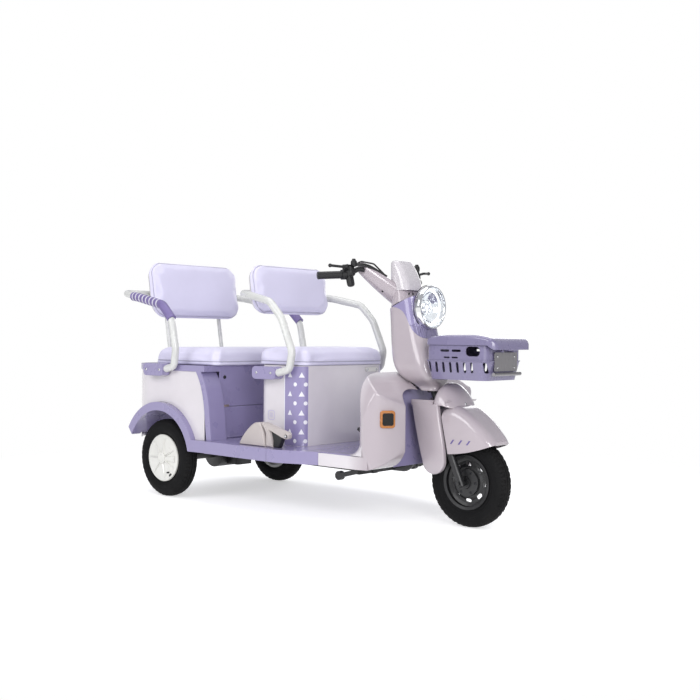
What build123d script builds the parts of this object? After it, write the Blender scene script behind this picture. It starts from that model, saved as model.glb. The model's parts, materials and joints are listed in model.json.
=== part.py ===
"""Electric leisure tricycle with two bench seats, in millimetres.

+X is straight ahead, +Y is the rider's left and +Z is up. The origin is on the ground,
in the middle of the overall length and width. Distances called "ahead" are measured
forward from the rear axle.
"""

import os
from math import asin, atan2, cos, degrees, radians, sin, tan

from build123d import *

os.makedirs("parts", exist_ok=True)

# ---------------------------------------------------------------- driving dimensions
overall_length = 2044
rear_overhang = 354
wheelbase = 1491
track = 724
tub_wall = track / 2 - 74

tyre_radius = 183.5
tyre_width = 80
rim_radius = 104
rim_flange = 111
bead_gap = 0.05
axle_radius = 8
hub_clearance = 0.05

rake = 24
fork_offset = 27
stem_radius = 15
head_clearance = 0.05
head_bottom = 410
head_top = 660

floor_top = tyre_radius + 106.5
skirt_depth = 55
deck_seam = 740
deck_taper = 980
footboard_end = 1146
riser_top = 600
sill_low = floor_top - skirt_depth
peg_y = 250
seam_gap = 0.4
rest_gap = 0.3
wall = 4
deck_half = 430
sill_half = 352
panel_gap = 1.5
hinge_radius = 3.5
hinge_half = 60

body_half = 398
body_top = 600
body_back = -285
body_corner = 175
arch_radius = tyre_radius + 42.5
flare_width = 40
flare_out = body_half + 26
seat_front = 300
foot_ahead = 336
flare_in = body_half - 26
door_top = 438

rear_cushion_half = 360
rear_cushion_back = -135
rear_cushion_front = 333
rear_cushion_top = 705
rim_height = 28

box_back = 529
box_front = 800
box_half = 275
box_top = 638
driver_cushion_half = box_half - 3
driver_cushion_front = 812
driver_cushion_back = 502
driver_cushion_top = 715

tube_radius = 17
rear_rail_half = body_half + 26
driver_rail_half = box_half + 31

shield_inner = 200
well_half = shield_inner - rest_gap
wing_inner = 56

basket_half = 132
basket_back = 1345
basket_front = 1650
basket_bottom = 600
basket_top = 738
basket_wall = 3.5
basket_rim = 674
lid_lip = 722
lid_wall = 5

rear_axle_x = rear_overhang - overall_length / 2


# ---------------------------------------------------------------- frames of reference
def at(ahead, y, z):
    """A point given by its distance ahead of the rear axle."""
    return (rear_axle_x + ahead, y, z)


def side(y=0):
    """Side view at one Y: local x is ahead of the rear axle, local y is up, normal -Y."""
    return Plane(origin=at(0, y, 0), x_dir=(1, 0, 0), z_dir=(0, -1, 0))


def level(z):
    """Plan view at one height: local x is ahead of the rear axle, local y is +Y."""
    return Plane(origin=at(0, 0, z), x_dir=(1, 0, 0), z_dir=(0, 0, 1))


def front(ahead):
    """Front view at one station: local x is +Y, local y is up, normal +X."""
    return Plane(origin=at(ahead, 0, 0), x_dir=(0, 1, 0), z_dir=(1, 0, 0))


def hub(ahead, y):
    """Half-section of a wheel: local x is along the axle, local y is the radius."""
    return Plane(origin=at(ahead, y, tyre_radius), x_dir=(0, 1, 0), z_dir=(1, 0, 0))


def hub_face(ahead, y, outward=1):
    """Face of a wheel, normal along the axle."""
    return Plane(origin=at(ahead, y, tyre_radius), x_dir=(1, 0, 0), z_dir=(0, outward, 0))


rake_sin = sin(radians(rake))
rake_cos = cos(radians(rake))
steer_foot = at(wheelbase - fork_offset * rake_cos, 0, tyre_radius - fork_offset * rake_sin)
steer = Plane(origin=steer_foot, x_dir=(rake_cos, 0, rake_sin), z_dir=(-rake_sin, 0, rake_cos))


def save(built, name):
    """Name one finished sub-part and write it."""
    built.part.label = name
    export_step(built.part, f"parts/{name}.step")


# ---------------------------------------------------------------- wheels
def tyre(ahead, y):
    """Scooter tyre with a round shoulder and four grooves round the tread."""
    half = tyre_width / 2
    with BuildPart() as built:
        with BuildSketch(hub(ahead, y)) as section:
            with BuildLine():
                Polyline((-28, rim_radius), (28, rim_radius), (30, rim_flange + 2), (half - 2, 128))
                Spline((half - 2, 128), (half, 145), (half - 6, 166), (half - 17, tyre_radius - 6))
                ThreePointArc((half - 17, tyre_radius - 6), (0, tyre_radius), (17 - half, tyre_radius - 6))
                Spline((17 - half, tyre_radius - 6), (6 - half, 166), (-half, 145), (2 - half, 128))
                Polyline((2 - half, 128), (-30, rim_flange + 2), (-28, rim_radius))
            make_face()
        revolve(axis=Axis(hub(ahead, y).origin, (0, 1, 0)))
        with BuildSketch(hub(ahead, y)) as grooves:
            with Locations((-19, tyre_radius), (-7, tyre_radius), (7, tyre_radius), (19, tyre_radius)):
                Rectangle(3, 10)
        revolve(axis=Axis(hub(ahead, y).origin, (0, 1, 0)), mode=Mode.SUBTRACT)
    return built


def rim_barrel(ahead, y, disc_at, outward):
    """Pressed steel rim: two flanges, the well between them and the disc across it."""
    plane = hub(ahead, y)
    reach = rim_flange
    with BuildPart() as built:
        with BuildSketch(plane):
            with BuildLine():
                Polyline(
                    (-34, reach), (-31, reach), (-28, rim_radius - bead_gap), (-14, rim_radius - 3),
                    (-9, 88), (9, 88), (14, rim_radius - 3), (28, rim_radius - bead_gap),
                    (31, reach), (34, reach), (31, rim_radius - 5), (16, rim_radius - 6),
                    (11, 85), (-11, 85), (-16, rim_radius - 6), (-31, rim_radius - 5), close=True,
                )
            make_face()
            with BuildLine():
                Polyline(
                    (disc_at, 28), (disc_at, 62), (disc_at - 8 * outward, 74), (disc_at - 8 * outward, 86),
                    (disc_at - 12 * outward, 86), (disc_at - 12 * outward, 72), (disc_at - 4 * outward, 60),
                    (disc_at - 4 * outward, 28), close=True,
                )
            make_face()
        revolve(axis=Axis(plane.origin, (0, 1, 0)))
    return built


for name, y in (("rear_tyre_right", -track / 2), ("rear_tyre_left", track / 2)):
    save(tyre(0, y), name)
save(tyre(wheelbase, 0), "front_tyre")

for name, y in (("rear_wheel_right", -track / 2), ("rear_wheel_left", track / 2)):
    outward = 1 if y > 0 else -1
    with BuildPart() as rear_wheel:
        add(rim_barrel(0, y, 12 * outward, outward))
        with BuildSketch(hub(0, y)):
            with BuildLine():
                Polyline(
                    (-12 * outward, axle_radius + hub_clearance), (-12 * outward, 30), (20 * outward, 30),
                    (20 * outward, axle_radius + hub_clearance), close=True,
                )
            make_face()
        revolve(axis=Axis(hub(0, y).origin, (0, 1, 0)))
        with BuildSketch(hub(0, y)):
            with BuildLine():
                Polyline((34 * outward, 109), (36 * outward, 109), (40 * outward, 90), (40 * outward, 30))
                Polyline((40 * outward, 30), (44 * outward, 22), (44 * outward, 0), (20 * outward, 0))
                Polyline((20 * outward, 0), (20 * outward, 30), (34 * outward, 100), (34 * outward, 109))
            make_face()
        revolve(axis=Axis(hub(0, y).origin, (0, 1, 0)))
        with BuildSketch(hub_face(0, y + 40 * outward, outward)):
            with PolarLocations(0, 7):
                with BuildLine():
                    Polyline((24, -9), (92, -14), (92, 14), (24, 9), close=True)
                make_face()
        extrude(amount=4)
    save(rear_wheel, name)

with BuildPart() as front_wheel:
    add(rim_barrel(wheelbase, 0, -20, -1))
    with BuildSketch(hub_face(wheelbase, -24, -1)):
        with PolarLocations(74, 8):
            SlotOverall(28, 15, rotation=90)
    extrude(amount=60, both=True, mode=Mode.SUBTRACT)
    with BuildSketch(hub(wheelbase, 0)):
        with BuildLine():
            Polyline(
                (-42, axle_radius + hub_clearance), (-42, 24), (-34, 26), (-30, 56), (26, 56), (30, 40),
                (42, 30), (42, axle_radius + hub_clearance), close=True,
            )
        make_face()
    revolve(axis=Axis(hub(wheelbase, 0).origin, (0, 1, 0)))
save(front_wheel, "front_wheel")

# ---------------------------------------------------------------- rear axle and springs
shaft_end = track / 2 + 16
casing_end = track / 2 - 40
spring_top = floor_top - 40
spring_half = 190
with BuildPart() as rear_axle:
    with BuildSketch(hub(0, 0)):
        with BuildLine():
            Polyline((-shaft_end, 0), (shaft_end, 0), (shaft_end, axle_radius), (casing_end, axle_radius))
            Polyline((casing_end, axle_radius), (casing_end, 24), (88, 24), (84, 70), (-84, 70), (-88, 24))
            Polyline((-88, 24), (-casing_end, 24), (-casing_end, axle_radius), (-shaft_end, axle_radius))
            Line((-shaft_end, axle_radius), (-shaft_end, 0))
        make_face()
    revolve(axis=Axis(hub(0, 0).origin, (0, 1, 0)))
    with BuildSketch(level(tyre_radius)):
        with Locations((95, 0)):
            RectangleRounded(90, 96, 12)
    extrude(amount=52, both=True)
    for y in (-150, 150):
        with BuildSketch(side(y)):
            with BuildLine():
                Line((-spring_half, spring_top), (-spring_half, spring_top - 8))
                ThreePointArc((-spring_half, spring_top - 8), (0, spring_top - 45), (spring_half, spring_top - 8))
                Line((spring_half, spring_top - 8), (spring_half, spring_top))
                ThreePointArc((spring_half, spring_top), (0, spring_top - 33), (-spring_half, spring_top))
            make_face()
        extrude(amount=22, both=True)
save(rear_axle, "rear_axle")

# ---------------------------------------------------------------- chassis
rail_half = 150
frame_low = 196
frame_high = 234
deck_under = floor_top - wall
kick_up = 215
with BuildPart() as chassis_frame:
    for y in (-rail_half, rail_half):
        with BuildSketch(side(y)):
            with BuildLine():
                Polyline(
                    (kick_up - 15, frame_low), (1112, frame_low), (1112, frame_high), (kick_up + 25, frame_high),
                    (kick_up + 25, deck_under), (-235, deck_under), (-235, spring_top),
                    (kick_up - 15, spring_top), close=True,
                )
            make_face()
        extrude(amount=15, both=True)
    with BuildSketch(level(frame_high)):
        for x in (262, 460, 660, 860, 1085):
            with Locations((x, 0)):
                Rectangle(30, 640)
    extrude(amount=deck_under - frame_high)
    with BuildSketch(level(deck_under - 30)):
        for x in (-180, 170):
            with Locations((x, 0)):
                Rectangle(30, 2 * rail_half)
    extrude(amount=30)
    with BuildLine() as down_path:
        FilletPolyline(
            at(1085, 0, 211), at(1178, 0, 212), at(1186, 0, 330), at(1172, 0, 560), at(1222, 0, 690),
            radius=40,
        )
    with BuildSketch(Plane(down_path.line @ 0, z_dir=down_path.line % 0)):
        Circle(20)
    sweep()
    with BuildSketch(level(frame_low)):
        with Locations((1085, 0)):
            Rectangle(30, 2 * rail_half)
    extrude(amount=frame_high - frame_low)
    with BuildSketch(steer.offset(head_bottom)):
        Circle(27)
    extrude(amount=head_top - head_bottom)
    with BuildSketch(steer.offset(head_bottom - 1)):
        Circle(stem_radius + head_clearance)
    extrude(amount=head_top - head_bottom + 2, mode=Mode.SUBTRACT)
    for y in (-peg_y, peg_y):
        with BuildSketch(side(y)):
            with BuildLine():
                Polyline((1110, 203), (1110, 223), (1000, 194), (1000, 174), close=True)
            make_face()
            with Locations((1002, 185)):
                Circle(19)
        extrude(amount=11, both=True)
    with BuildSketch(level(frame_low + 2)):
        with Locations((1097, 0)):
            Rectangle(24, 2 * peg_y)
    extrude(amount=26)
save(chassis_frame, "chassis_frame")

# ---------------------------------------------------------------- deck and footboard

def tray(outline, top, depth, thickness, seam):
    """A moulded tray: a top sheet with a skirt round it, but none along the seam at one station."""
    with BuildPart() as built:
        with BuildSketch(level(top - depth)):
            with BuildLine():
                Polyline(*outline, close=True)
            make_face()
        extrude(amount=depth)
        across = built.faces().filter_by(Axis.X)
        at_seam = [face for face in across if abs(face.center().X - rear_axle_x - seam) < 1]
        offset(amount=-thickness, openings=[built.faces().sort_by(Axis.Z)[0]] + at_seam)
    return built


deck_outline = [
    (body_back + wall, -205), (-222, -tub_wall), (236, -tub_wall), (236, -flare_in), (foot_ahead, -flare_in),
    (foot_ahead, -deck_half),
    (deck_seam, -deck_half), (deck_seam, deck_half), (foot_ahead, deck_half), (foot_ahead, flare_in),
    (236, flare_in), (236, tub_wall), (-222, tub_wall), (body_back + wall, 205),
]
save(tray(deck_outline, floor_top, skirt_depth, wall, deck_seam), "rear_deck")

foot_outline = [
    (deck_seam + panel_gap, -deck_half), (box_front, -deck_half), (deck_taper, -sill_half - 8),
    (deck_taper, 8 - sill_half), (footboard_end, 8 - sill_half), (footboard_end, sill_half - 8),
    (deck_taper, sill_half - 8), (deck_taper, sill_half + 8), (box_front, deck_half),
    (deck_seam + panel_gap, deck_half),
]
with BuildPart() as footboard:
    add(tray(foot_outline, floor_top, skirt_depth, wall, deck_seam + panel_gap))
    with BuildSketch(level(sill_low)):
        with Locations((footboard_end, 0)):
            Rectangle(20, 2 * well_half - 20)
    extrude(amount=skirt_depth - wall, mode=Mode.SUBTRACT)
    with BuildSketch(level(floor_top - wall)):
        with Locations((footboard_end - wall / 2, 0)):
            Rectangle(wall, 2 * well_half)
    extrude(amount=riser_top - floor_top + wall)
    with BuildSketch(level(floor_top)):
        with Locations((1000, 0)):
            with GridLocations(36, 44, 7, 13):
                SlotOverall(24, 9, rotation=35)
    extrude(amount=1.2)
save(footboard, "footboard")

# ---------------------------------------------------------------- rear body
arch_ahead = -8
rim_out = 4
flare_angle = degrees(asin((floor_top - 2.6 - tyre_radius) / (arch_radius + flare_width)))


def body_plan(grow):
    """Plan of the rear body, round at the two back corners, grown by an offset."""
    back = body_back - grow
    half = body_half + grow
    corner = body_corner + grow
    with BuildSketch() as plan:
        with BuildLine():
            Line((seat_front, -half), (back + corner, -half))
            RadiusArc((back + corner, -half), (back, corner - half), corner)
            Line((back, corner - half), (back, half - corner))
            RadiusArc((back, half - corner), (back + corner, half), corner)
            Line((back + corner, half), (seat_front, half))
            Line((seat_front, half), (seat_front, -half))
        make_face()
    return plan.sketch_local


def on_arch(radius, angle):
    """Point of the wheel arch at a radius and an angle above the forward direction."""
    return (arch_ahead + radius * cos(radians(angle)), tyre_radius + radius * sin(radians(angle)))


def flare_plan(inset):
    """Side outline of the wheel arch flare and its front foot, drawn in by an inset."""
    outer = arch_radius + flare_width - inset
    inner = arch_radius + inset
    foot = floor_top - skirt_depth
    foot_angle = degrees(atan2(foot - tyre_radius, inner))
    with BuildSketch() as plan:
        with BuildLine():
            ThreePointArc(on_arch(outer, 150), on_arch(outer, 90), on_arch(outer, flare_angle))
            Line(on_arch(outer, flare_angle), (foot_ahead - inset, floor_top - inset))
            Line((foot_ahead - inset, floor_top - inset), (foot_ahead - inset, foot))
            Line((foot_ahead - inset, foot), on_arch(inner, foot_angle))
            ThreePointArc(on_arch(inner, foot_angle), on_arch(inner, 90), on_arch(inner, 154))
            Line(on_arch(inner, 154), on_arch(outer, 150))
        make_face()
    return plan.sketch_local


pillar_inner = 310
pillar_depth = 34


def pillar_line(back):
    """Front edge of a pillar from the seat down to the floor, moved back by a distance."""
    with BuildLine() as edge:
        Spline((250 - back, body_top + rim_height), (300 - back, 560), (336 - back, 430), (352 - back, floor_top))
    return edge.line


with BuildPart() as rear_body:
    with BuildSketch(level(floor_top - 24)):
        add(body_plan(0))
        add(body_plan(-wall), mode=Mode.SUBTRACT)
        with Locations((seat_front, 0)):
            Rectangle(20, 2 * (body_half - wall), mode=Mode.SUBTRACT)
    extrude(amount=body_top - floor_top + 24)
    with BuildSketch(side()):
        add(flare_plan(-seam_gap))
        with Locations((arch_ahead, tyre_radius)):
            Circle(arch_radius + 2)
    extrude(amount=body_half + 50, both=True, mode=Mode.SUBTRACT)
    with BuildSketch(side()):
        with BuildLine():
            add(pillar_line(pillar_depth))
            Polyline((352 - pillar_depth, floor_top), (352 - pillar_depth, 200), (400, 200))
            Polyline((400, 200), (400, body_top + rim_height), (250 - pillar_depth, body_top + rim_height))
        make_face()
    extrude(amount=body_half + 50, both=True, mode=Mode.SUBTRACT)
save(rear_body, "rear_body")

tub_radius = arch_radius + 3
with BuildPart() as rear_fenders:
    for outward in (-1, 1):
        inner_face = side(outward * flare_in)
        with BuildSketch(inner_face):
            add(flare_plan(0))
        extrude(amount=-outward * (flare_out - flare_in))
        with BuildSketch(inner_face):
            add(flare_plan(4))
        extrude(amount=-outward * (flare_out - flare_in - 5), mode=Mode.SUBTRACT)
        with BuildSketch(side(outward * (tub_wall + 4))):
            with BuildLine():
                ThreePointArc(on_arch(tub_radius, 18), on_arch(tub_radius, 90), on_arch(tub_radius, 152))
                Line(on_arch(tub_radius, 152), on_arch(arch_radius, 152))
                ThreePointArc(on_arch(arch_radius, 152), on_arch(arch_radius, 90), on_arch(arch_radius, 18))
                Line(on_arch(arch_radius, 18), on_arch(tub_radius, 18))
            make_face()
        extrude(amount=-outward * (flare_in - tub_wall - 4))
        with BuildSketch(side(outward * tub_wall)):
            with BuildLine():
                ThreePointArc(on_arch(tub_radius, 18), on_arch(tub_radius, 90), on_arch(tub_radius, 152))
                Line(on_arch(tub_radius, 152), on_arch(tub_radius, 18))
            make_face()
        extrude(amount=-outward * 4)
save(rear_fenders, "rear_fenders")

with BuildPart() as rear_seat_front:
    with BuildSketch(level(body_top)):
        add(body_plan(rim_out))
        with Locations((90, 0)):
            RectangleRounded(380, 620, 30, mode=Mode.SUBTRACT)
    extrude(amount=rim_height)
    with BuildSketch(level(floor_top)):
        with Locations((seat_front - wall / 2, 0)):
            Rectangle(wall, 2 * pillar_inner)
    extrude(amount=body_top - floor_top)
    with BuildSketch(level(floor_top)):
        with Locations((seat_front - wall / 2, 0)):
            Rectangle(wall + 2, 2 * pillar_inner - 30)
    extrude(amount=door_top - floor_top, mode=Mode.SUBTRACT)
    for outward in (-1, 1):
        with BuildSketch(side(outward * pillar_inner)):
            with BuildLine():
                add(pillar_line(0))
                Line((352, floor_top), (352 - pillar_depth, floor_top))
                add(pillar_line(pillar_depth))
                Line((250 - pillar_depth, body_top + rim_height), (250, body_top + rim_height))
            make_face()
        extrude(amount=-outward * (body_half + rim_out - pillar_inner))
save(rear_seat_front, "rear_seat_front")

door_hinge_radius = 4
with BuildPart() as storage_door:
    with BuildSketch(level(floor_top + rest_gap + door_hinge_radius)):
        with Locations((seat_front - wall / 2, 0)):
            Rectangle(wall, 2 * pillar_inner - 34)
    extrude(amount=door_top - floor_top - 2 - door_hinge_radius)
    with BuildSketch(side()):
        with Locations((seat_front, floor_top + rest_gap + door_hinge_radius)):
            Circle(door_hinge_radius)
    extrude(amount=pillar_inner - 17, both=True)
    with BuildSketch(front(seat_front)):
        with Locations((230, door_top - 12)):
            RectangleRounded(60, 12, 3)
    extrude(amount=4)
save(storage_door, "storage_door")

with BuildPart() as tail_lights:
    with BuildSketch(front(body_back)):
        with Locations((-140, 500), (140, 500)):
            RectangleRounded(90, 50, 14)
    extrude(amount=-12)
    fillet(tail_lights.faces().sort_by(Axis.X)[:2].edges(), 5)
save(tail_lights, "tail_lights")

# ---------------------------------------------------------------- seats
with BuildPart() as rear_seat_cushion:
    base = body_top + rim_height + rest_gap
    with BuildSketch(side()):
        with BuildLine():
            Polyline((rear_cushion_back, base), (seat_front + 6, base), (seat_front + 6, 604))
            Polyline((seat_front + 6, 604), (rear_cushion_front - 6, 604), (rear_cushion_front, 625))
            Polyline((rear_cushion_front, 625), (rear_cushion_front, rear_cushion_top))
            Polyline((rear_cushion_front, rear_cushion_top), (rear_cushion_back, rear_cushion_top))
            Polyline((rear_cushion_back, rear_cushion_top), (rear_cushion_back, base))
        make_face()
    extrude(amount=rear_cushion_half, both=True)
    fillet(rear_seat_cushion.edges().filter_by(Axis.Z).group_by(Axis.X)[-1], 30)
    fillet(rear_seat_cushion.edges().filter_by(Axis.Z).group_by(Axis.X)[0], 50)
    fillet(rear_seat_cushion.faces().sort_by(Axis.Z)[-1].edges(), 18)
    with BuildSketch(side()):
        with Locations((rear_cushion_back - 2.5, base + hinge_radius + 0.2)):
            Circle(hinge_radius)
    extrude(amount=hinge_half, both=True)
save(rear_seat_cushion, "rear_seat_cushion")

with BuildPart() as driver_seat_cushion:
    with BuildSketch(level(box_top + rest_gap)):
        with Locations(((driver_cushion_front + driver_cushion_back) / 2, 0)):
            RectangleRounded(driver_cushion_front - driver_cushion_back, 2 * driver_cushion_half, 48)
    extrude(amount=driver_cushion_top - box_top - rest_gap)
    fillet(driver_seat_cushion.faces().sort_by(Axis.Z)[-1].edges(), 18)
    with BuildSketch(side()):
        with Locations((driver_cushion_front - 6, box_top - 2)):
            Circle(hinge_radius)
    extrude(amount=hinge_half, both=True)
save(driver_seat_cushion, "driver_seat_cushion")

# foot of the pad's front face, ahead and up, its lean, width, height and corner
rests = {
    "rear": (-200, 862, 9.9, 560, 276, 75),
    "driver": (490, 878, 9.1, 480, 220, 65),
}
pad_thickness = 40
shell_thickness = 18


def rest_plane(ahead, up, lean):
    """Front face of a backrest: local x is +Y, local y runs up the pad."""
    return Plane(origin=at(ahead, 0, up), x_dir=(0, 1, 0), z_dir=(cos(radians(lean)), 0, sin(radians(lean))))


with BuildPart() as backrest_pads:
    for ahead, up, lean, width, height, corner in rests.values():
        with BuildSketch(rest_plane(ahead, up, lean)):
            with Locations((0, height / 2)):
                RectangleRounded(width, height, corner)
        extrude(amount=-pad_thickness)
    fillet(backrest_pads.edges().filter_by(GeomType.LINE, reverse=True), 8)
save(backrest_pads, "backrest_pads")

with BuildPart() as backrest_shells:
    for ahead, up, lean, width, height, corner in rests.values():
        with BuildSketch(rest_plane(ahead, up, lean).offset(-pad_thickness)):
            with Locations((0, height / 2)):
                RectangleRounded(width - 8, height - 8, corner - 4)
        extrude(amount=-shell_thickness, taper=18)
save(backrest_shells, "backrest_shells")


def mirrored_path(half):
    """A path over the whole width from its right half, which ends at Y = 0."""
    right = [at(ahead, -y, z) for ahead, y, z in half]
    left = [at(ahead, y, z) for ahead, y, z in reversed(half)]
    return right + left


rear_rail_back = tube_radius - rear_overhang
driver_rail_back = 368
driver_rail_up = 962
rear_rail_run = [
    (53, rear_rail_half, 608), (112, rear_rail_half, 622), (122, rear_rail_half, 700),
    (92, rear_rail_half, 842), (20, rear_rail_half - 2, 908), (-190, rear_rail_half - 20, 948),
    (rear_rail_back, rear_rail_half - 44, 972),
]
driver_rail_run = [
    (683, driver_rail_half, 607), (752, driver_rail_half, 622), (768, driver_rail_half, 700),
    (702, driver_rail_half, 845), (625, driver_rail_half - 2, 918), (470, driver_rail_half - 30, 950),
    (driver_rail_back, driver_rail_half - 70, driver_rail_up),
]
post_radius = 10
post_drop = 234
with BuildPart() as armrest_rails:
    for run, bends in ((rear_rail_run, (30, 60, 120, 60, 150, 50)), (driver_rail_run, (30, 60, 120, 60, 150, 50))):
        with BuildLine() as rail_path:
            FilletPolyline(*mirrored_path(run), radius=bends + bends[::-1])
        with BuildSketch(Plane(rail_path.line @ 0, z_dir=rail_path.line % 0)):
            Circle(tube_radius)
        sweep()
    for ahead, z, (foot, up, lean, width, height, corner) in (
        (rear_rail_back, 972, rests["rear"]), (driver_rail_back, driver_rail_up, rests["driver"]),
    ):
        slope = radians(lean)
        reach = foot - (z - up) * tan(slope) - (pad_thickness + shell_thickness) / cos(slope) + 6
        with BuildSketch(level(z - 12)):
            for y in (-150, 150):
                with Locations(((ahead + reach) / 2, y)):
                    Rectangle(reach - ahead, 34)
        extrude(amount=24)
    post_back = rest_plane(*rests["rear"][:3]).offset(-pad_thickness - shell_thickness - post_radius)
    for y in (-172, 172):
        foot = post_back.from_local_coords((y, -post_drop, 0))
        with BuildSketch(Plane(origin=foot, z_dir=post_back.y_dir)):
            Circle(post_radius)
        extrude(amount=post_drop + 170)
    add(backrest_shells.part, mode=Mode.SUBTRACT)
    add(rear_seat_front.part, mode=Mode.SUBTRACT)
save(armrest_rails, "armrest_rails")

with BuildPart() as rail_mounts:
    for outward in (-1, 1):
        with BuildSketch(side(outward * (body_half + rim_out))):
            with Locations((-20, 604)):
                RectangleRounded(146, 58, 20)
        extrude(amount=-outward * 44)
        with BuildSketch(side(outward * box_half)):
            with Locations((609, 605)):
                RectangleRounded(148, 56, 20)
        extrude(amount=-outward * 50)
    add(armrest_rails.part, mode=Mode.SUBTRACT)
save(rail_mounts, "rail_mounts")

grip_wall = 4.5
with BuildPart() as rear_rail_grips:
    for outward in (-1, 1):
        half = [(92, 0, 842), (20, 2, 908), (-190, 20, 948), (-235, 25, 953)]
        with BuildLine() as grip_path:
            FilletPolyline(*[at(ahead, outward * (rear_rail_half - y), z) for ahead, y, z in half], radius=(60, 150))
        grip_end = Plane(grip_path.line @ 0, z_dir=grip_path.line % 0)
        with BuildSketch(grip_end):
            Circle(tube_radius + grip_wall)
        sweep()
    add(armrest_rails.part, mode=Mode.SUBTRACT)
save(rear_rail_grips, "rear_rail_grips")

# ---------------------------------------------------------------- driver's seat box
with BuildPart() as driver_seat_box:
    with BuildSketch(level(floor_top)):
        with Locations(((box_back + box_front) / 2, 0)):
            RectangleRounded(box_front - box_back, 2 * box_half, 50)
    extrude(amount=box_top - floor_top)
    offset(amount=-wall, openings=driver_seat_box.faces().sort_by(Axis.Z)[-1])
save(driver_seat_box, "driver_seat_box")

with BuildPart() as battery_pack:
    with BuildSketch(level(floor_top + wall)):
        with Locations(((box_back + box_front) / 2, 0)):
            RectangleRounded(200, 420, 8)
    extrude(amount=170)
save(battery_pack, "battery_pack")

# ---------------------------------------------------------------- foot and hand brake
with BuildPart() as parking_brake:
    with BuildSketch(side(-352)):
        with BuildLine():
            Polyline((520, floor_top), (640, 392), (690, 396), (740, floor_top), close=True)
        make_face()
    extrude(amount=44)
    with BuildSketch(side(-362)):
        with BuildLine():
            Polyline((670, 380), (690, 392), (826, 352), (826, 334), (700, 350), close=True)
        make_face()
        with Locations((828, 343)):
            Circle(12)
    extrude(amount=24)
save(parking_brake, "parking_brake")

with BuildPart() as brake_pedal:
    with BuildSketch(side(-165)):
        with BuildLine():
            Polyline((footboard_end - wall, 380), (footboard_end - wall, 396), (1085, 366), (1085, 354), close=True)
        make_face()
    extrude(amount=12)
    with BuildSketch(side(-135)):
        with BuildLine():
            Polyline((1098, 352), (1104, 362), (1062, 388), (1056, 378), close=True)
        make_face()
    extrude(amount=72)
save(brake_pedal, "brake_pedal")

# ---------------------------------------------------------------- front bodywork
# height, back, front, half width and corner of the steering column's cover
column_sections = [
    (546, 1250, 1343, 46, 34), (590, 1182, 1341, 74, 42), (636, 1144, 1333, 92, 46), (682, 1125, 1318, 91, 48),
    (728, 1115, 1301, 87, 50), (774, 1109, 1285, 84, 50), (820, 1105, 1271, 82, 50), (866, 1100, 1259, 80, 50),
    (912, 1095, 1248, 78, 50), (958, 1090, 1238, 76, 48),
]
column_top = 796


def column_loft(inset):
    """Outer form of the column cover, drawn in by an inset, up to the handlebar joint."""
    with BuildPart() as built:
        for z, back, front_x, half, corner in column_sections:
            with BuildSketch(level(z)):
                with Locations(((back + front_x) / 2, 0)):
                    RectangleRounded(front_x - back - 2 * inset, 2 * (half - inset), corner - inset)
        loft()
        split(bisect_by=steer.offset(column_top), keep=Keep.BOTTOM)
    return built.part


def lamp_panel_region():
    """Side region ahead of the joint between the pale cover and the lamp panel."""
    with BuildSketch(side()) as region:
        with BuildLine():
            Spline((1080, 880), (1150, 893), (1200, 868), (1226, 826), (1254, 788), (1300, 758))
            Polyline((1300, 758), (1400, 752), (1400, 990), (1080, 990), (1080, 880))
        make_face()
    return region.sketch_local


column_outer = column_loft(0)
column_inner = column_loft(wall)
lamp_ahead = 1286
lamp_up = 893
lamp_radius = 88
lamp_depth = 64
lens_wall = 4
lamp_axis = Axis(at(0, 0, lamp_up), (1, 0, 0))


def bucket_outline(grow):
    """Half-section of the lamp housing's outer form, from its centre to its rim, grown by a clearance."""
    back = lamp_ahead - lamp_depth - grow
    return [
        (back, lamp_up), (back, lamp_up + 34), (back + 16, lamp_up + 66 + grow),
        (lamp_ahead - 24, lamp_up + lamp_radius + grow), (lamp_ahead, lamp_up + lamp_radius + 4 + grow),
    ]


with BuildPart() as headlight_bucket:
    outline = bucket_outline(0)
    with BuildSketch(side()):
        with BuildLine():
            Line(outline[0], outline[1])
            Spline(*outline[1:])
            Polyline(
                outline[-1], (lamp_ahead + 7, lamp_up + lamp_radius), (lamp_ahead + 7, lamp_up + lamp_radius - 5),
                (lamp_ahead - 4, lamp_up + lamp_radius - 5),
            )
            Spline(
                (lamp_ahead - 4, lamp_up + lamp_radius - 5), (lamp_ahead - 30, lamp_up + 66),
                (lamp_ahead - 50, lamp_up + 36), (lamp_ahead - 57, lamp_up),
            )
            Line((lamp_ahead - 57, lamp_up), outline[0])
        make_face()
    revolve(axis=lamp_axis)
    with BuildSketch(front(lamp_ahead - lamp_depth + 5)):
        with Locations((0, lamp_up)):
            Circle(13)
    extrude(amount=30)
save(headlight_bucket, "headlight_bucket")

with BuildPart() as lamp_room:
    outline = bucket_outline(rest_gap)
    with BuildSketch(side()):
        with BuildLine():
            Line(outline[0], outline[1])
            Spline(*outline[1:])
            Polyline(outline[-1], (1400, outline[-1][1]), (1400, lamp_up), outline[0])
        make_face()
    revolve(axis=lamp_axis)

with BuildPart() as headlight_lens:
    rim = lamp_up + lamp_radius - 5 - rest_gap
    with BuildSketch(side()):
        with BuildLine():
            Spline(
                (lamp_ahead + 18, lamp_up), (lamp_ahead + 14, lamp_up + 48), (lamp_ahead + 2, rim),
                tangents=[(0, 1), (-1, 1)],
            )
            Line((lamp_ahead + 2, rim), (lamp_ahead - 3, rim))
            Spline(
                (lamp_ahead - 3, rim), (lamp_ahead + 10, lamp_up + 47), (lamp_ahead + 18 - lens_wall, lamp_up),
                tangents=[(1, -1), (0, -1)],
            )
            Line((lamp_ahead + 18 - lens_wall, lamp_up), (lamp_ahead + 18, lamp_up))
        make_face()
    revolve(axis=lamp_axis)
save(headlight_lens, "headlight_lens")

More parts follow.
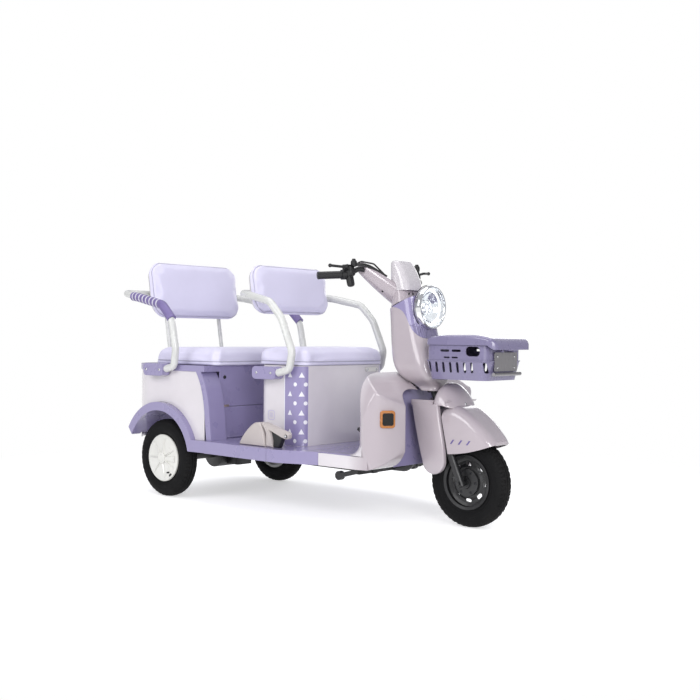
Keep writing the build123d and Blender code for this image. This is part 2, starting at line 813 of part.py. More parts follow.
with BuildPart() as column_cover:
    add(column_outer)
    add(column_inner, mode=Mode.SUBTRACT)
    with BuildSketch(side()):
        add(lamp_panel_region())
    extrude(amount=150, both=True, mode=Mode.SUBTRACT)
    add(lamp_room.part, mode=Mode.SUBTRACT)
    with BuildSketch(level(540)):
        with Locations((1170, 0)):
            Rectangle(110, 60)
    extrude(amount=106, mode=Mode.SUBTRACT)
save(column_cover, "column_cover")

rib_count = 7
rib_turn = 15
with BuildPart() as panel_grooves:
    for index in range(rib_count):
        angle = 270 + (index - (rib_count - 1) / 2) * rib_turn
        with BuildSketch(front(1150)):
            with Locations((0, lamp_up)):
                with PolarLocations(lamp_radius + 32, 1, start_angle=angle):
                    SlotOverall(46, 5)
        extrude(amount=200)
    add(column_loft(1.6), mode=Mode.SUBTRACT)

with BuildPart() as headlight_panel:
    add(column_outer)
    add(column_inner, mode=Mode.SUBTRACT)
    with BuildSketch(side()):
        add(lamp_panel_region())
    extrude(amount=150, both=True, mode=Mode.INTERSECT)
    add(lamp_room.part, mode=Mode.SUBTRACT)
    add(panel_grooves.part, mode=Mode.SUBTRACT)
save(headlight_panel, "headlight_panel")

shield_edge = 12
with BuildPart() as shield_form:
    with BuildSketch(level(sill_low)):
        with BuildLine():
            Line((footboard_end, wing_inner), (1330, wing_inner))
            Spline((1330, wing_inner), (1326, 130), (1310, 200), (1290, 280), (1250, 334), (1208, 352))
            Spline((1208, 352), (1180, 330), (1160, 262), (footboard_end, shield_inner))
            Line((footboard_end, shield_inner), (footboard_end, wing_inner))
        make_face()
    extrude(amount=440)
    with BuildSketch(front(1100)):
        with BuildLine():
            Line((wing_inner, 548), (wing_inner, 655))
            Spline(
                (wing_inner, 655), (140, 650), (230, 628), (300, 586), (340, 510), (353, 420), (352, 330),
                (336, sill_low),
            )
            Polyline((336, sill_low), (shield_inner, sill_low), (shield_inner, 480))
            Spline((shield_inner, 480), (190, 522), (150, 546), (wing_inner, 548))
        make_face()
    extrude(amount=300, mode=Mode.INTERSECT)
    with BuildSketch(side()):
        with BuildLine():
            Line((1100, sill_low), (1215, sill_low))
            Spline(
                (1215, sill_low), (1272, 254), (1312, 312), (1326, 400), (1316, 478), (1268, 541), (1215, 581),
                (1155, 616), (1100, 640),
            )
            Line((1100, 640), (1100, sill_low))
        make_face()
    extrude(amount=400, both=True, mode=Mode.INTERSECT)
    outer_edges = shield_form.edges().filter_by(
        lambda edge: edge.center().Y > 230 and edge.center().X > at(1170, 0, 0)[0] and edge.center().Z > sill_low + 5
    )
    fillet(outer_edges, shield_edge)

with BuildPart() as leg_shields:
    add(shield_form.part)
    with BuildSketch(level(sill_low)):
        with BuildLine():
            Polyline((deck_taper + 1, sill_half - 7.8), (1172, sill_half - 7.8), (1160, shield_inner), (1185, shield_inner))
            Polyline((1185, shield_inner), (1232, 344), (1180, 356), (deck_taper + 1, 362))
            Line((deck_taper + 1, 362), (deck_taper + 1, sill_half - 7.8))
        make_face()
    extrude(amount=skirt_depth - 3)
    mirror(about=Plane.XZ)
    add(column_outer, mode=Mode.SUBTRACT)
save(leg_shields, "leg_shields")

well_top = 548
with BuildPart() as wheel_well_panel:
    with BuildSketch(side()):
        with BuildLine():
            Polyline((1200, well_top), (1248, 238), (1252, 238), (1204, well_top), close=True)
        make_face()
    extrude(amount=well_half, both=True)
    add(leg_shields.part, mode=Mode.SUBTRACT)
save(wheel_well_panel, "wheel_well_panel")

with BuildPart() as reflectors:
    for outward in (-1, 1):
        plate = Plane(
            origin=at(1291, outward * 290, 440), x_dir=(-outward * 0.55, 0.83, 0), z_dir=(0.83, outward * 0.55, 0)
        )
        with BuildSketch(plate.offset(-30)):
            RectangleRounded(62, 70, 12)
        extrude(amount=36)
    fillet(reflectors.faces().sort_by(Axis.X)[-2:].edges(), 4)
    add(leg_shields.part, mode=Mode.SUBTRACT)
save(reflectors, "reflectors")

# ---------------------------------------------------------------- basket
basket_mid = (basket_back + basket_front) / 2
basket_length = basket_front - basket_back
band_inset = 4
lid_hinge_ahead = basket_front + 10
lid_hinge_up = 722
ear_y = 41


def basket_box(z, height, grow, corner):
    """Upright block with the basket's plan, grown by a distance on every side."""
    with BuildPart() as built:
        with BuildSketch(level(z)):
            with Locations((basket_mid, 0)):
                RectangleRounded(basket_length + 2 * grow, 2 * (basket_half + grow), corner)
        extrude(amount=height)
    return built.part


def basket_tub(inset):
    """Tapered lower tub of the basket, drawn in by an inset."""
    with BuildPart() as built:
        for z, shrink, corner in ((basket_bottom + inset, 15 + inset, 34), (basket_rim, inset, 40)):
            with BuildSketch(level(z)):
                with Locations((basket_mid, 0)):
                    RectangleRounded(basket_length - 2 * shrink, 2 * (basket_half - shrink), corner - inset)
        loft()
    return built.part


with BuildPart() as basket:
    add(basket_tub(0))
    add(basket_box(basket_rim, 4, 3, 43))
    add(basket_box(basket_rim + 4, basket_top - basket_rim - 4, -band_inset, 36))
    with BuildSketch(level(lid_hinge_up - 10)):
        with Locations((lid_hinge_ahead - 5, -ear_y), (lid_hinge_ahead - 5, ear_y)):
            Rectangle(22, 12)
    extrude(amount=17)
    with BuildSketch(level(628)):
        with Locations((basket_back, 0)):
            Rectangle(40, 60)
    extrude(amount=40)
    add(column_outer, mode=Mode.SUBTRACT)
    add(basket_tub(basket_wall), mode=Mode.SUBTRACT)
    add(basket_box(basket_rim - 1, basket_top - basket_rim + 2, -band_inset - basket_wall, 32), mode=Mode.SUBTRACT)
    with BuildSketch(side()):
        with Locations(*[(x, 650) for x in (*range(1374, 1600, 34), 1634)]):
            SlotOverall(42, 12, rotation=90)
        with Locations((1448, 716), (1504, 716)):
            SlotOverall(44, 9)
        with Locations((1458, 689), (1497, 689)):
            SlotOverall(30, 6)
        with Locations((1583, 714)):
            RectangleRounded(66, 38, 17)
    extrude(amount=300, both=True, mode=Mode.SUBTRACT)
    with BuildSketch(side()):
        with Locations((lid_hinge_ahead, lid_hinge_up)):
            Circle(hinge_radius + head_clearance)
    extrude(amount=hinge_half, both=True, mode=Mode.SUBTRACT)
save(basket, "basket")

lid_front = overall_length - rear_overhang
lid_base = basket_top + rest_gap
lid_half = basket_half + 4


def lid_crown(drop):
    """Side outline of the lid's top, from its back edge down to its front lip, lowered by a distance."""
    return [
        (basket_back + drop, 762 - drop), (1427, 776 - drop), (1530, 779 - drop), (1630 - drop * 0.3, 775 - drop),
        (1677 - drop * 0.8, 757 - drop * 0.6), (lid_front - drop, lid_lip),
    ]


with BuildPart() as lid_room:
    crown = lid_crown(lid_wall)
    with BuildSketch(side()):
        with BuildLine():
            Spline(*crown)
            Polyline(crown[-1], (lid_front - lid_wall, 700), (basket_front + 6, 700), (basket_front + 6, lid_base + 4))
            Polyline((basket_front + 6, lid_base + 4), (basket_back + lid_wall, lid_base + 4), crown[0])
        make_face()
    extrude(amount=lid_half, both=True)
    with BuildSketch(level(690)):
        with Locations(((lid_front + basket_back) / 2, 0)):
            RectangleRounded(lid_front - basket_back - 2 * lid_wall + 4, 2 * (lid_half - lid_wall), 39)
    extrude(amount=100, mode=Mode.INTERSECT)

with BuildPart() as basket_lid:
    crown = lid_crown(0)
    with BuildSketch(side()):
        with BuildLine():
            Spline(*crown)
            Line(crown[-1], (lid_front - 12, lid_lip))
            Spline((lid_front - 12, lid_lip), (1668, 728), (1656, lid_base))
            Polyline((1656, lid_base), (basket_back, lid_base), crown[0])
        make_face()
    extrude(amount=lid_half, both=True)
    with BuildSketch(level(690)):
        with Locations(((lid_front + basket_back) / 2, 0)):
            RectangleRounded(lid_front - basket_back + 4, 2 * lid_half, 44)
    extrude(amount=100, mode=Mode.INTERSECT)
    fillet(basket_lid.edges().filter_by(lambda edge: edge.center().Z > 748), 14)
    add(lid_room.part, mode=Mode.SUBTRACT)
    add(basket_box(lid_base - 1, 6, -12, 28), mode=Mode.SUBTRACT)
    with BuildSketch(side()):
        with Locations((lid_hinge_ahead, lid_hinge_up)):
            Circle(hinge_radius)
    extrude(amount=ear_y + 5, both=True)
    with BuildSketch(side()):
        with Locations(((lid_hinge_ahead + lid_front - 1) / 2, lid_hinge_up)):
            Rectangle(lid_front - 1 - lid_hinge_ahead, 7)
    extrude(amount=ear_y - 9, both=True)
save(basket_lid, "basket_lid")

plate_up = 674
bar_up = 626
with BuildPart() as number_plate:
    with BuildSketch(front(basket_front + 1)):
        with Locations((0, plate_up)):
            RectangleRounded(160, 74, 6)
    extrude(amount=3)
    with BuildSketch(front(basket_front - 6)):
        with Locations((-60, plate_up + 21), (60, plate_up + 21)):
            Rectangle(16, 8)
    extrude(amount=7)
    with BuildSketch(side()):
        with Locations((basket_front + 9, bar_up)):
            Circle(7)
    extrude(amount=95, both=True)
    with BuildSketch(front(basket_front - 11)):
        with Locations((-60, bar_up), (60, bar_up)):
            Rectangle(16, 8)
    extrude(amount=14)
    add(basket.part, mode=Mode.SUBTRACT)
save(number_plate, "number_plate")

# ---------------------------------------------------------------- steering and front wheel carrier
leg_half = 68
with BuildPart() as fork:
    with BuildSketch(steer.offset(-14)):
        with Locations((fork_offset, -leg_half), (fork_offset, leg_half)):
            Circle(16)
    extrude(amount=352)
    with BuildSketch(steer.offset(330)):
        with Locations((fork_offset, 0)):
            SlotOverall(2 * leg_half + 40, 42, rotation=90)
        with Locations((8, 0)):
            Circle(30)
    extrude(amount=20)
    with BuildSketch(steer.offset(340)):
        Circle(stem_radius)
    extrude(amount=500)
    with BuildSketch(hub_face(wheelbase, 0)):
        Circle(axle_radius)
    extrude(amount=92, both=True)
    with BuildSketch(hub_face(wheelbase, 43)):
        Circle(13)
    extrude(amount=20)
    with BuildSketch(hub_face(wheelbase, -43, -1)):
        Circle(13)
    extrude(amount=20)
save(fork, "fork")

cover_inner = 84.5
cover_outer = 104
with BuildPart() as fork_covers:
    for outward in (-1, 1):
        with BuildSketch(side(outward * cover_inner)):
            with BuildLine():
                Spline((1262, 496), (1276, 430), (1296, 344), (1320, 262))
                ThreePointArc((1320, 262), (1382, 212), (1430, 262))
                Spline((1430, 262), (1428, 300), (1404, 430), (1396, 496))
                Line((1396, 496), (1262, 496))
            make_face()
        extrude(amount=-outward * (cover_outer - cover_inner))
    for outer_face in (fork_covers.faces().sort_by(Axis.Y)[0], fork_covers.faces().sort_by(Axis.Y)[-1]):
        fillet(outer_face.edges().sort_by(Axis.Z)[:-1], 8)
    with BuildSketch(side()):
        with BuildLine():
            Polyline((1262, 490), (1262, 512), (1356, 512))
            Spline((1356, 512), (1370, 556), (1404, 558), (1446, 512))
            Line((1446, 512), (1438, 504))
            Spline((1438, 504), (1403, 541), (1382, 537), (1373, 490))
            Line((1373, 490), (1262, 490))
        make_face()
    extrude(amount=cover_outer - 2, both=True)
    with BuildSketch(steer.offset(300)):
        Circle(stem_radius + 18)
    extrude(amount=120, mode=Mode.SUBTRACT)
    with BuildSketch(steer.offset(345)):
        Circle(56)
    extrude(amount=120, mode=Mode.SUBTRACT)
    add(fork.part, mode=Mode.SUBTRACT)
save(fork_covers, "fork_covers")

# station, crown height, half width and crown corner of the front fender
fender_sections = [
    (1400, 476, 90, 44), (1434, 491, 90, 44), (1468, 491, 90, 44), (1502, 477, 89, 44), (1536, 455, 87, 44),
    (1570, 428, 83, 44), (1604, 396, 76, 42), (1638, 356, 58, 30),
]
fender_foot = 200


def fender_loft(inset):
    """Outer form of the front fender, drawn in by an inset and open below."""
    with BuildPart() as built:
        for x, crown, half, corner in fender_sections:
            with BuildSketch(front(min(x, fender_sections[-1][0] - inset))):
                with Locations((0, (crown - inset + fender_foot) / 2)):
                    RectangleRounded(2 * (half - inset), crown - inset - fender_foot, corner - inset)
        loft()
    return built.part


with BuildPart() as front_fender:
    add(fender_loft(0))
    with BuildSketch(side()):
        with BuildLine():
            Polyline((1406, 448), (1406, 520), (1700, 520), (1700, 352), (1646, 348))
            Spline((1646, 348), (1560, 318), (1440, 298))
            Line((1440, 298), (1406, 448))
        make_face()
    extrude(amount=100, both=True, mode=Mode.INTERSECT)
    add(fender_loft(4), mode=Mode.SUBTRACT)
    with BuildSketch(hub_face(wheelbase, 0)):
        Circle(tyre_radius + 14)
    extrude(amount=60, both=True, mode=Mode.SUBTRACT)
    for outward in (-1, 1):
        with BuildSketch(side(outward * 74)):
            with Locations((1442, 322)):
                Circle(8)
        extrude(amount=-outward * 14)
    add(fork.part, mode=Mode.SUBTRACT)
    add(fork_covers.part, mode=Mode.SUBTRACT)
save(front_fender, "front_fender")

# ---------------------------------------------------------------- handlebar
bar_radius = 11
bar_half = [(948, 342, 1020), (1008, 225, 1028), (1036, 165, 1060), (1078, 80, 990), (1112, 20, 958)]
with BuildPart() as handlebar:
    with BuildLine() as bar_path:
        FilletPolyline(*mirrored_path(bar_half), radius=(60, 25, 40, 40, 12, 12, 40, 40, 25, 60)[1:9])
    with BuildSketch(Plane(bar_path.line @ 0, z_dir=bar_path.line % 0)):
        Circle(bar_radius)
    sweep()
    add(fork.part, mode=Mode.SUBTRACT)
save(handlebar, "handlebar")

with BuildPart() as handlebar_cover:
    with BuildSketch(steer.offset(column_top + 5)):
        with Locations((10, 0)):
            RectangleRounded(104, 146, 44)
    with BuildSketch(steer.offset(column_top + 60)):
        with Locations((24, 0)):
            RectangleRounded(84, 120, 40)
    loft()
    for outward in (-1, 1):
        with BuildSketch(side(outward * 20)):
            with Locations((1118, 942)):
                Ellipse(54, 42)
        with BuildSketch(side(outward * 95)):
            with Locations((1076, 1000)):
                Ellipse(40, 36)
        with BuildSketch(side(outward * 160)):
            with Locations((1034, 1056)):
                Ellipse(24, 26)
        loft()
    split(bisect_by=steer.offset(column_top + 5), keep=Keep.TOP)
    add(fork.part, mode=Mode.SUBTRACT)
    add(handlebar.part, mode=Mode.SUBTRACT)
save(handlebar_cover, "handlebar_cover")

# height, back, front, half width and corner of the instrument hood
hood_sections = [
    (965, 1099, 1203, 64, 30), (997, 1099, 1193, 63, 30), (1029, 1098, 1180, 62, 28), (1061, 1097, 1162, 60, 26),
    (1093, 1096, 1140, 56, 20),
]
with BuildPart() as instrument_hood:
    for z, back, front_x, half, corner in hood_sections:
        with BuildSketch(level(z)):
            with Locations(((back + front_x) / 2, 0)):
                RectangleRounded(front_x - back, 2 * half, corner)
    loft()
    fillet(instrument_hood.faces().sort_by(Axis.Z)[-1].edges(), 14)
    add(handlebar_cover.part, mode=Mode.SUBTRACT)
    add(fork.part, mode=Mode.SUBTRACT)
    add(handlebar.part, mode=Mode.SUBTRACT)
save(instrument_hood, "instrument_hood")


def on_bar(outward, along):
    """Plane across the grip end of the bar, a distance in from its tip."""
    tip = Vector(*at(948, outward * 342, 1020))
    bend = Vector(*at(1008, outward * 225, 1028))
    inward = (bend - tip).normalized()
    return Plane(origin=tip + inward * along, z_dir=inward)


with BuildPart() as handlebar_grips:
    for outward in (-1, 1):
        with BuildSketch(on_bar(outward, 2)):
            Circle(16)
            Circle(bar_radius, mode=Mode.SUBTRACT)
        extrude(amount=104)
save(handlebar_grips, "handlebar_grips")

with BuildPart() as hand_controls:
    for outward in (-1, 1):
        with BuildSketch(on_bar(outward, 106.3)):
            Circle(21)
            Circle(bar_radius, mode=Mode.SUBTRACT)
        extrude(amount=19)
        with BuildLine() as lever_path:
            FilletPolyline(
                at(1012, outward * 240, 1046), at(1036, outward * 262, 1056), at(1012, outward * 330, 1060), radius=14,
            )
        with BuildSketch(Plane(lever_path.line @ 0, z_dir=lever_path.line % 0)):
            Circle(5.5)
        sweep()
        with Locations(at(1011, outward * 333, 1060)):
            Sphere(8)
        with Locations(at(1013, outward * 226, 1056)):
            Box(30, 34, 26)
    add(handlebar.part, mode=Mode.SUBTRACT)
    add(handlebar_grips.part, mode=Mode.SUBTRACT)
save(hand_controls, "hand_controls")

with BuildPart() as brake_cables:
    for outward in (-1, 1):
        route = [(1026, 214, 1062), (1046, 180, 1084), (1074, 130, 1076), (1092, 86, 1036), (1106, 60, 990)]
        with BuildLine() as cable_path:
            FilletPolyline(*[at(ahead, outward * y, z) for ahead, y, z in route], radius=(18, 30, 30))
        with BuildSketch(Plane(cable_path.line @ 0, z_dir=cable_path.line % 0)):
            Circle(3.5)
        sweep()
    add(handlebar_cover.part, mode=Mode.SUBTRACT)
    add(instrument_hood.part, mode=Mode.SUBTRACT)
    add(hand_controls.part, mode=Mode.SUBTRACT)
save(brake_cables, "brake_cables")
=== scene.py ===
"""Electric leisure tricycle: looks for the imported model. Metres, +X ahead, +Y the rider's left, +Z up."""

import json
from math import cos, pi, radians, sin

import bmesh
import bpy
from mathutils import Matrix, Vector
from mathutils.bvhtree import BVHTree
from mathutils.kdtree import KDTree


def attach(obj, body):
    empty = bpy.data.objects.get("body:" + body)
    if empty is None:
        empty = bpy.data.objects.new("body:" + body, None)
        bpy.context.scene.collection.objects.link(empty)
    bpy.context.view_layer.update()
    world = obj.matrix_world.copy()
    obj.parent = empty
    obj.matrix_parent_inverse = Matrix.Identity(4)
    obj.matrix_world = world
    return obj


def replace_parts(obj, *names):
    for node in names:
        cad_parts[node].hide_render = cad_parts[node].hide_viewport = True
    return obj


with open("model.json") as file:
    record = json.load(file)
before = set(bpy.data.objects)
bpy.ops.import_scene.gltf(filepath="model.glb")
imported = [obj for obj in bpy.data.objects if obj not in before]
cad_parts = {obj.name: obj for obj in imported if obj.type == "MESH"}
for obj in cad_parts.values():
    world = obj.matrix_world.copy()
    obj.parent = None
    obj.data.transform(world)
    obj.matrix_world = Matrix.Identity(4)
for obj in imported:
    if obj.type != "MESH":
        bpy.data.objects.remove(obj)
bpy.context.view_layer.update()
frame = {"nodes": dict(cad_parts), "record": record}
nodes = frame["nodes"]
scene = bpy.context.scene

AHEAD, LEFT, UP = Vector((1, 0, 0)), Vector((0, 1, 0)), Vector((0, 0, 1))
RIGHT_VIEW, LEFT_VIEW, FRONT_VIEW = (AHEAD, UP), (-AHEAD, UP), (LEFT, UP)
SIDES = (("right", -1), ("left", 1))

# Millimetres ahead of the rear axle, from the middle and above the ground.
AXLE_UP, WHEELBASE, TRACK_HALF = 183.5, 1491, 362
BOX_HALF, SILL_UP, LAMP_UP = 275, 290, 893
TYRES = {
    "rear_tyre_right": ("rear_wheel_right", 0, -TRACK_HALF),
    "rear_tyre_left": ("rear_wheel_left", 0, TRACK_HALF),
    "front_tyre": ("front_wheel", WHEELBASE, 0),
}

# Metres along the frame's X axis.
REAR_AXLE = -0.668
GRIP_PLAIN = -0.655
SILL_FRONT = 0.50

WELD_GAP = 0.00002
CAD_ANGLE = 32


def spot(ahead, y, z):
    """A point in metres from millimetres ahead of the rear axle, to the rider's left and up."""
    return Vector((ahead / 1000 + REAR_AXLE, y / 1000, z / 1000))


def turns(count, offset=0):
    """Evenly spaced angles round a circle."""
    return [2 * pi * (k + offset) / count for k in range(count)]


def linked(name, data):
    """A new object in the scene."""
    obj = bpy.data.objects.new(name, data)
    scene.collection.objects.link(obj)
    return obj


def camera():
    """The viewpoint: right front quarter, nearly level, at its place in the model's frame."""
    azimuth, pitch, roll = radians(41.744), radians(0.814), radians(0.548)
    ahead = Vector((-sin(azimuth) * cos(pitch), cos(azimuth) * cos(pitch), -sin(pitch)))
    level_right = Vector((cos(azimuth), sin(azimuth), 0))
    level_up = level_right.cross(ahead)
    right = level_right * cos(roll) + level_up * sin(roll)
    up = level_up * cos(roll) - level_right * sin(roll)
    data = bpy.data.cameras.new("camera")
    data.lens, data.sensor_width = 51.99, 36
    data.clip_start, data.clip_end = 0.1, 100
    obj = linked("camera", data)
    turn = Matrix((right, up, -ahead)).transposed().to_4x4()
    obj.matrix_world = Matrix.Translation((3.1807, -3.3849, 0.7716)) @ turn
    scene.camera = obj


# ---------------------------------------------------------------- node trees
class Graph:
    """Short ways to fill the node tree of a material or a world."""

    def __init__(self, owner, empty=True):
        owner.use_nodes = True
        self.tree = owner.node_tree
        if empty:
            self.tree.nodes.clear()

    def node(self, kind, settings=None, **links):
        """Add a node; links are socket names, or i and a number, with the value or socket for each."""
        made = self.tree.nodes.new("ShaderNode" + kind)
        for key, value in (settings or {}).items():
            setattr(made, key, value)
        for key, value in links.items():
            numbered = key[0] == "i" and key[1:].isdigit()
            self.put(made.inputs[int(key[1:]) if numbered else key.replace("_", " ")], value)
        return made

    def out(self, kind, settings=None, **links):
        """Add a node and give its first output."""
        return self.node(kind, settings, **links).outputs[0]

    def put(self, socket, value):
        if isinstance(value, bpy.types.NodeSocket):
            self.tree.links.new(value, socket)
        else:
            socket.default_value = value

    def math(self, operation, a, b=0.0):
        return self.out("Math", {"operation": operation}, i0=a, i1=b)

    def times(self, a, b):
        return self.math("MULTIPLY", a, b)

    def less(self, a, b):
        return self.math("SUBTRACT", a, b)


# ---------------------------------------------------------------- stage and light
def stage():
    """Pale floor and a wide soft studio: a big key from the rider's right, fills and a top light."""
    white = (1, 1, 1, 1)
    reach = 30
    mesh = bpy.data.meshes.new("floor")
    corners = [(x * reach, y * reach, 0) for x, y in ((-1, -1), (1, -1), (1, 1), (-1, 1))]
    mesh.from_pydata(corners, [], [(0, 1, 2, 3)])
    floor = linked("floor", mesh)
    paint = bpy.data.materials.new("floor")
    g = Graph(paint)
    ray = g.node("LightPath").outputs
    seen = g.math("MAXIMUM", ray["Is Camera Ray"], ray["Is Glossy Ray"])
    matte = g.out("BsdfDiffuse", Color=(0.9, 0.9, 0.9, 1))
    glow = g.out("Emission", Color=white, Strength=0.50)
    lifted = g.out("AddShader", i0=matte, i1=glow)
    near = g.out("MixShader", i0=seen, i1=matte, i2=lifted)
    place = g.node("TexCoord").outputs["Object"]
    away = g.node("VectorMath", {"operation": "LENGTH"}, i0=place).outputs["Value"]
    fade = g.out("MapRange", {"interpolation_type": "SMOOTHSTEP"}, Value=away, From_Min=1.1, From_Max=2.6)
    far = g.out("Emission", Color=white)
    blank = g.out("MixShader", i0=g.times(fade, seen), i1=near, i2=far)
    g.node("OutputMaterial", i0=blank)
    mesh.materials.append(paint)

    world = bpy.data.worlds.new("studio")
    scene.world = world
    g = Graph(world)
    ray = g.node("LightPath").outputs
    seen = g.math("MAXIMUM", ray["Is Camera Ray"], ray["Is Transmission Ray"])
    room = g.out("Background", Color=(0.93, 0.94, 1, 1), Strength=0.5)
    plain = g.out("Background", Color=white, Strength=1.0)
    g.node("OutputWorld", i0=g.out("MixShader", i0=seen, i1=room, i2=plain))

    aim = Vector((0, 0, 0.55))
    for name, place, size, power in (
        ("key", (-0.6, -4.6, 2.6), (3.4, 2.4), 92),
        ("camera_fill", (4.4, -3.0, 1.9), (2.2, 2.2), 125),
        ("top", (0, 0, 4.2), (4.0, 2.6), 70),
        ("far_fill", (-1.5, 4.6, 2.2), (3.0, 2.0), 40),
    ):
        data = bpy.data.lights.new(name, "AREA")
        data.shape = "RECTANGLE"
        data.size, data.size_y = size
        data.energy = power
        light = linked(name, data)
        light.location = place
        light.rotation_euler = (aim - Vector(place)).to_track_quat("-Z", "Y").to_euler()
    scene.view_settings.view_transform = "Standard"


# ---------------------------------------------------------------- materials
class Surface(Graph):
    """One procedural material: a Principled shader with textures in the model's own coordinates."""

    def __init__(self, name, color, rough, **values):
        self.material = bpy.data.materials.new(name)
        super().__init__(self.material, empty=False)
        self.material.diffuse_color = (*color, 1)
        self.shader = self.tree.nodes["Principled BSDF"]
        self.shader.inputs["Base Color"].default_value = (*color, 1)
        self.shader.inputs["Roughness"].default_value = rough
        for key, value in values.items():
            self.shader.inputs[key.replace("_", " ").title().replace("Ior", "IOR")].default_value = value
        self.place = self.node("TexCoord").outputs["Object"]
        self.height = None

    def noise(self, scale, detail=3.0, rough=0.5, where=None, distortion=0.0):
        return self.node(
            "TexNoise", Vector=where or self.place, Scale=scale, Detail=detail, Roughness=rough,
            Distortion=distortion,
        ).outputs["Fac"]

    def cells(self, scale, feature="F1"):
        made = self.node("TexVoronoi", {"feature": feature}, Vector=self.place, Scale=scale)
        return made.outputs["Distance"]

    def stretch(self, x, y, z):
        return self.out("Mapping", Vector=self.place, Scale=(x, y, z))

    def span(self, value, low, high, to_low=0.0, to_high=1.0):
        return self.out("MapRange", Value=value, From_Min=low, From_Max=high, To_Min=to_low, To_Max=to_high)

    def mix(self, factor, a, b):
        made = self.node("Mix", {"data_type": "RGBA"})
        self.put(made.inputs["Factor"], factor)
        self.put(made.inputs[6], (*a, 1) if isinstance(a, tuple) else a)
        self.put(made.inputs[7], (*b, 1) if isinstance(b, tuple) else b)
        return made.outputs[2]

    def blend(self, cloud, a, b):
        """Drift between two colours with a noise."""
        return self.mix(self.span(cloud, 0.3, 0.7), a, b)

    def clouds(self, color, noise, low, high):
        """A noise, and the colour drifting with it between two shades."""
        cloud = self.noise(*noise)
        return cloud, self.blend(cloud, shade(color, low), shade(color, high))

    def axis(self, index):
        return self.node("SeparateXYZ", Vector=self.place).outputs[index]

    def edges(self, low=0.52, high=0.6):
        """Convex edges, where handling polishes or scuffs the finish."""
        return self.span(self.node("NewGeometry").outputs["Pointiness"], low, high)

    def soften(self, radius=0.0015):
        """Round the look of sharp moulded edges."""
        self.height = self.node("Bevel", {"samples": 4}, Radius=radius).outputs["Normal"]
        return self

    def polar(self, centre):
        """Angle, radius and sideways distance round a wheel's axle."""
        centred = self.out("Mapping", Vector=self.place, Location=tuple(-value for value in centre))
        x, across, z = self.node("SeparateXYZ", Vector=centred).outputs
        square = self.math("ADD", self.times(x, x), self.times(z, z))
        return self.math("ARCTAN2", z, x), self.math("SQRT", square), across

    def band(self, value, centre, half):
        """One at the centre, falling to nothing half a width away."""
        away = self.math("ABSOLUTE", self.less(value, centre))
        return self.span(away, 0.0, half, 1.0, 0.0)

    def bump(self, height, distance, strength=1.0):
        made = self.node("Bump", Height=height, Distance=distance, Strength=strength)
        if self.height is not None:
            self.tree.links.new(self.height, made.inputs["Normal"])
        self.height = made.outputs["Normal"]
        self.tree.links.new(self.height, self.shader.inputs["Normal"])

    def vary_rough(self, cloud, low, high):
        self.put(self.shader.inputs["Roughness"], self.span(cloud, 0.3, 0.7, low, high))

    def wear(self, color, cloud, low, high):
        """Set the colour, and let the roughness drift with a noise."""
        self.put(self.shader.inputs["Base Color"], color)
        self.vary_rough(cloud, low, high)


def shade(color, factor):
    return tuple(min(1.0, c * factor) for c in color)


def gloss_panel(name, color, rough=0.2, relief=None, front=None):
    """Injection-moulded panel with a clear gloss coat: faint orange peel, mottling and fine dust.

    relief adds a moulded pattern; front is a darker tone that the colour turns to towards the vehicle's nose,
    as painted shade."""
    s = Surface(name, color, rough, coat_weight=0.8, coat_roughness=0.05).soften(0.0025)
    mottle, tone = s.clouds(color, (9, 4, 0.6), 0.97, 1.02)
    dust = s.span(s.noise(620, 2, 0.7), 0.62, 0.8)
    tone = s.mix(s.times(dust, 0.10), tone, shade(color, 0.78))
    road_dust = (0.42, 0.40, 0.38)
    low = s.span(s.axis(2), 0.02, 0.34, 0.16, 0.0)
    tone = s.mix(s.times(low, mottle), tone, road_dust)
    # Towards the nose the colour turns to the darker front tone: painted shade.
    if front:
        tone = s.mix(s.span(s.axis(0), SILL_FRONT - 0.03, SILL_FRONT + 0.05), tone, front)
    if relief:
        tone = relief(s, tone)
    s.wear(tone, mottle, rough * 0.8, rough * 1.35)
    s.bump(s.noise(260, 2, 0.4), 0.00012, 0.35)
    s.bump(s.noise(38, 2, 0.4), 0.0006, 0.12)
    return s.material


def tread_relief(s, tone):
    """Raised slanting studs on the level faces of the footboard."""
    row_pitch, column_pitch = 0.034, 0.058
    normal = s.node("NewGeometry").outputs["Normal"]
    facing = s.span(s.node("SeparateXYZ", Vector=normal).outputs[2], 0.8, 0.95)
    row = s.times(s.axis(0), 1 / row_pitch)
    column = s.math("ADD", s.times(s.axis(1), 1 / column_pitch), s.times(s.math("FLOOR", row), 0.5))
    u = s.less(s.math("FRACT", row), 0.5)
    v = s.less(s.math("FRACT", column), 0.5)
    slant = s.math("ABSOLUTE", s.less(u, s.times(v, 0.7)))
    length = s.math("ABSOLUTE", v)
    stud = s.times(s.span(slant, 0.10, 0.20, 1.0, 0.0), s.span(length, 0.30, 0.38, 1.0, 0.0))
    stud = s.times(s.times(stud, facing), s.span(s.axis(0), SILL_FRONT - 0.27, SILL_FRONT - 0.25))
    s.bump(stud, 0.004, 0.9)
    return s.mix(s.times(stud, 0.9), tone, shade(PURPLE, 0.3))


def ribbed_relief(s, tone):
    """Fine upright ribs on the lower part of the lamp panel, with painted shade in the grooves between them.
    """
    pitch = 0.009
    low = s.span(s.axis(2), 0.812, 0.822, 1.0, 0.0)
    rib = s.times(s.span(s.math("SINE", s.times(s.axis(1), 2 * pi / pitch)), -0.4, 0.4), low)
    s.bump(rib, 0.003, 0.8)
    # The grooves between the ribs are darkened: painted shade.
    return s.mix(s.times(s.less(low, rib), 0.5), tone, shade(PURPLE, 0.5))


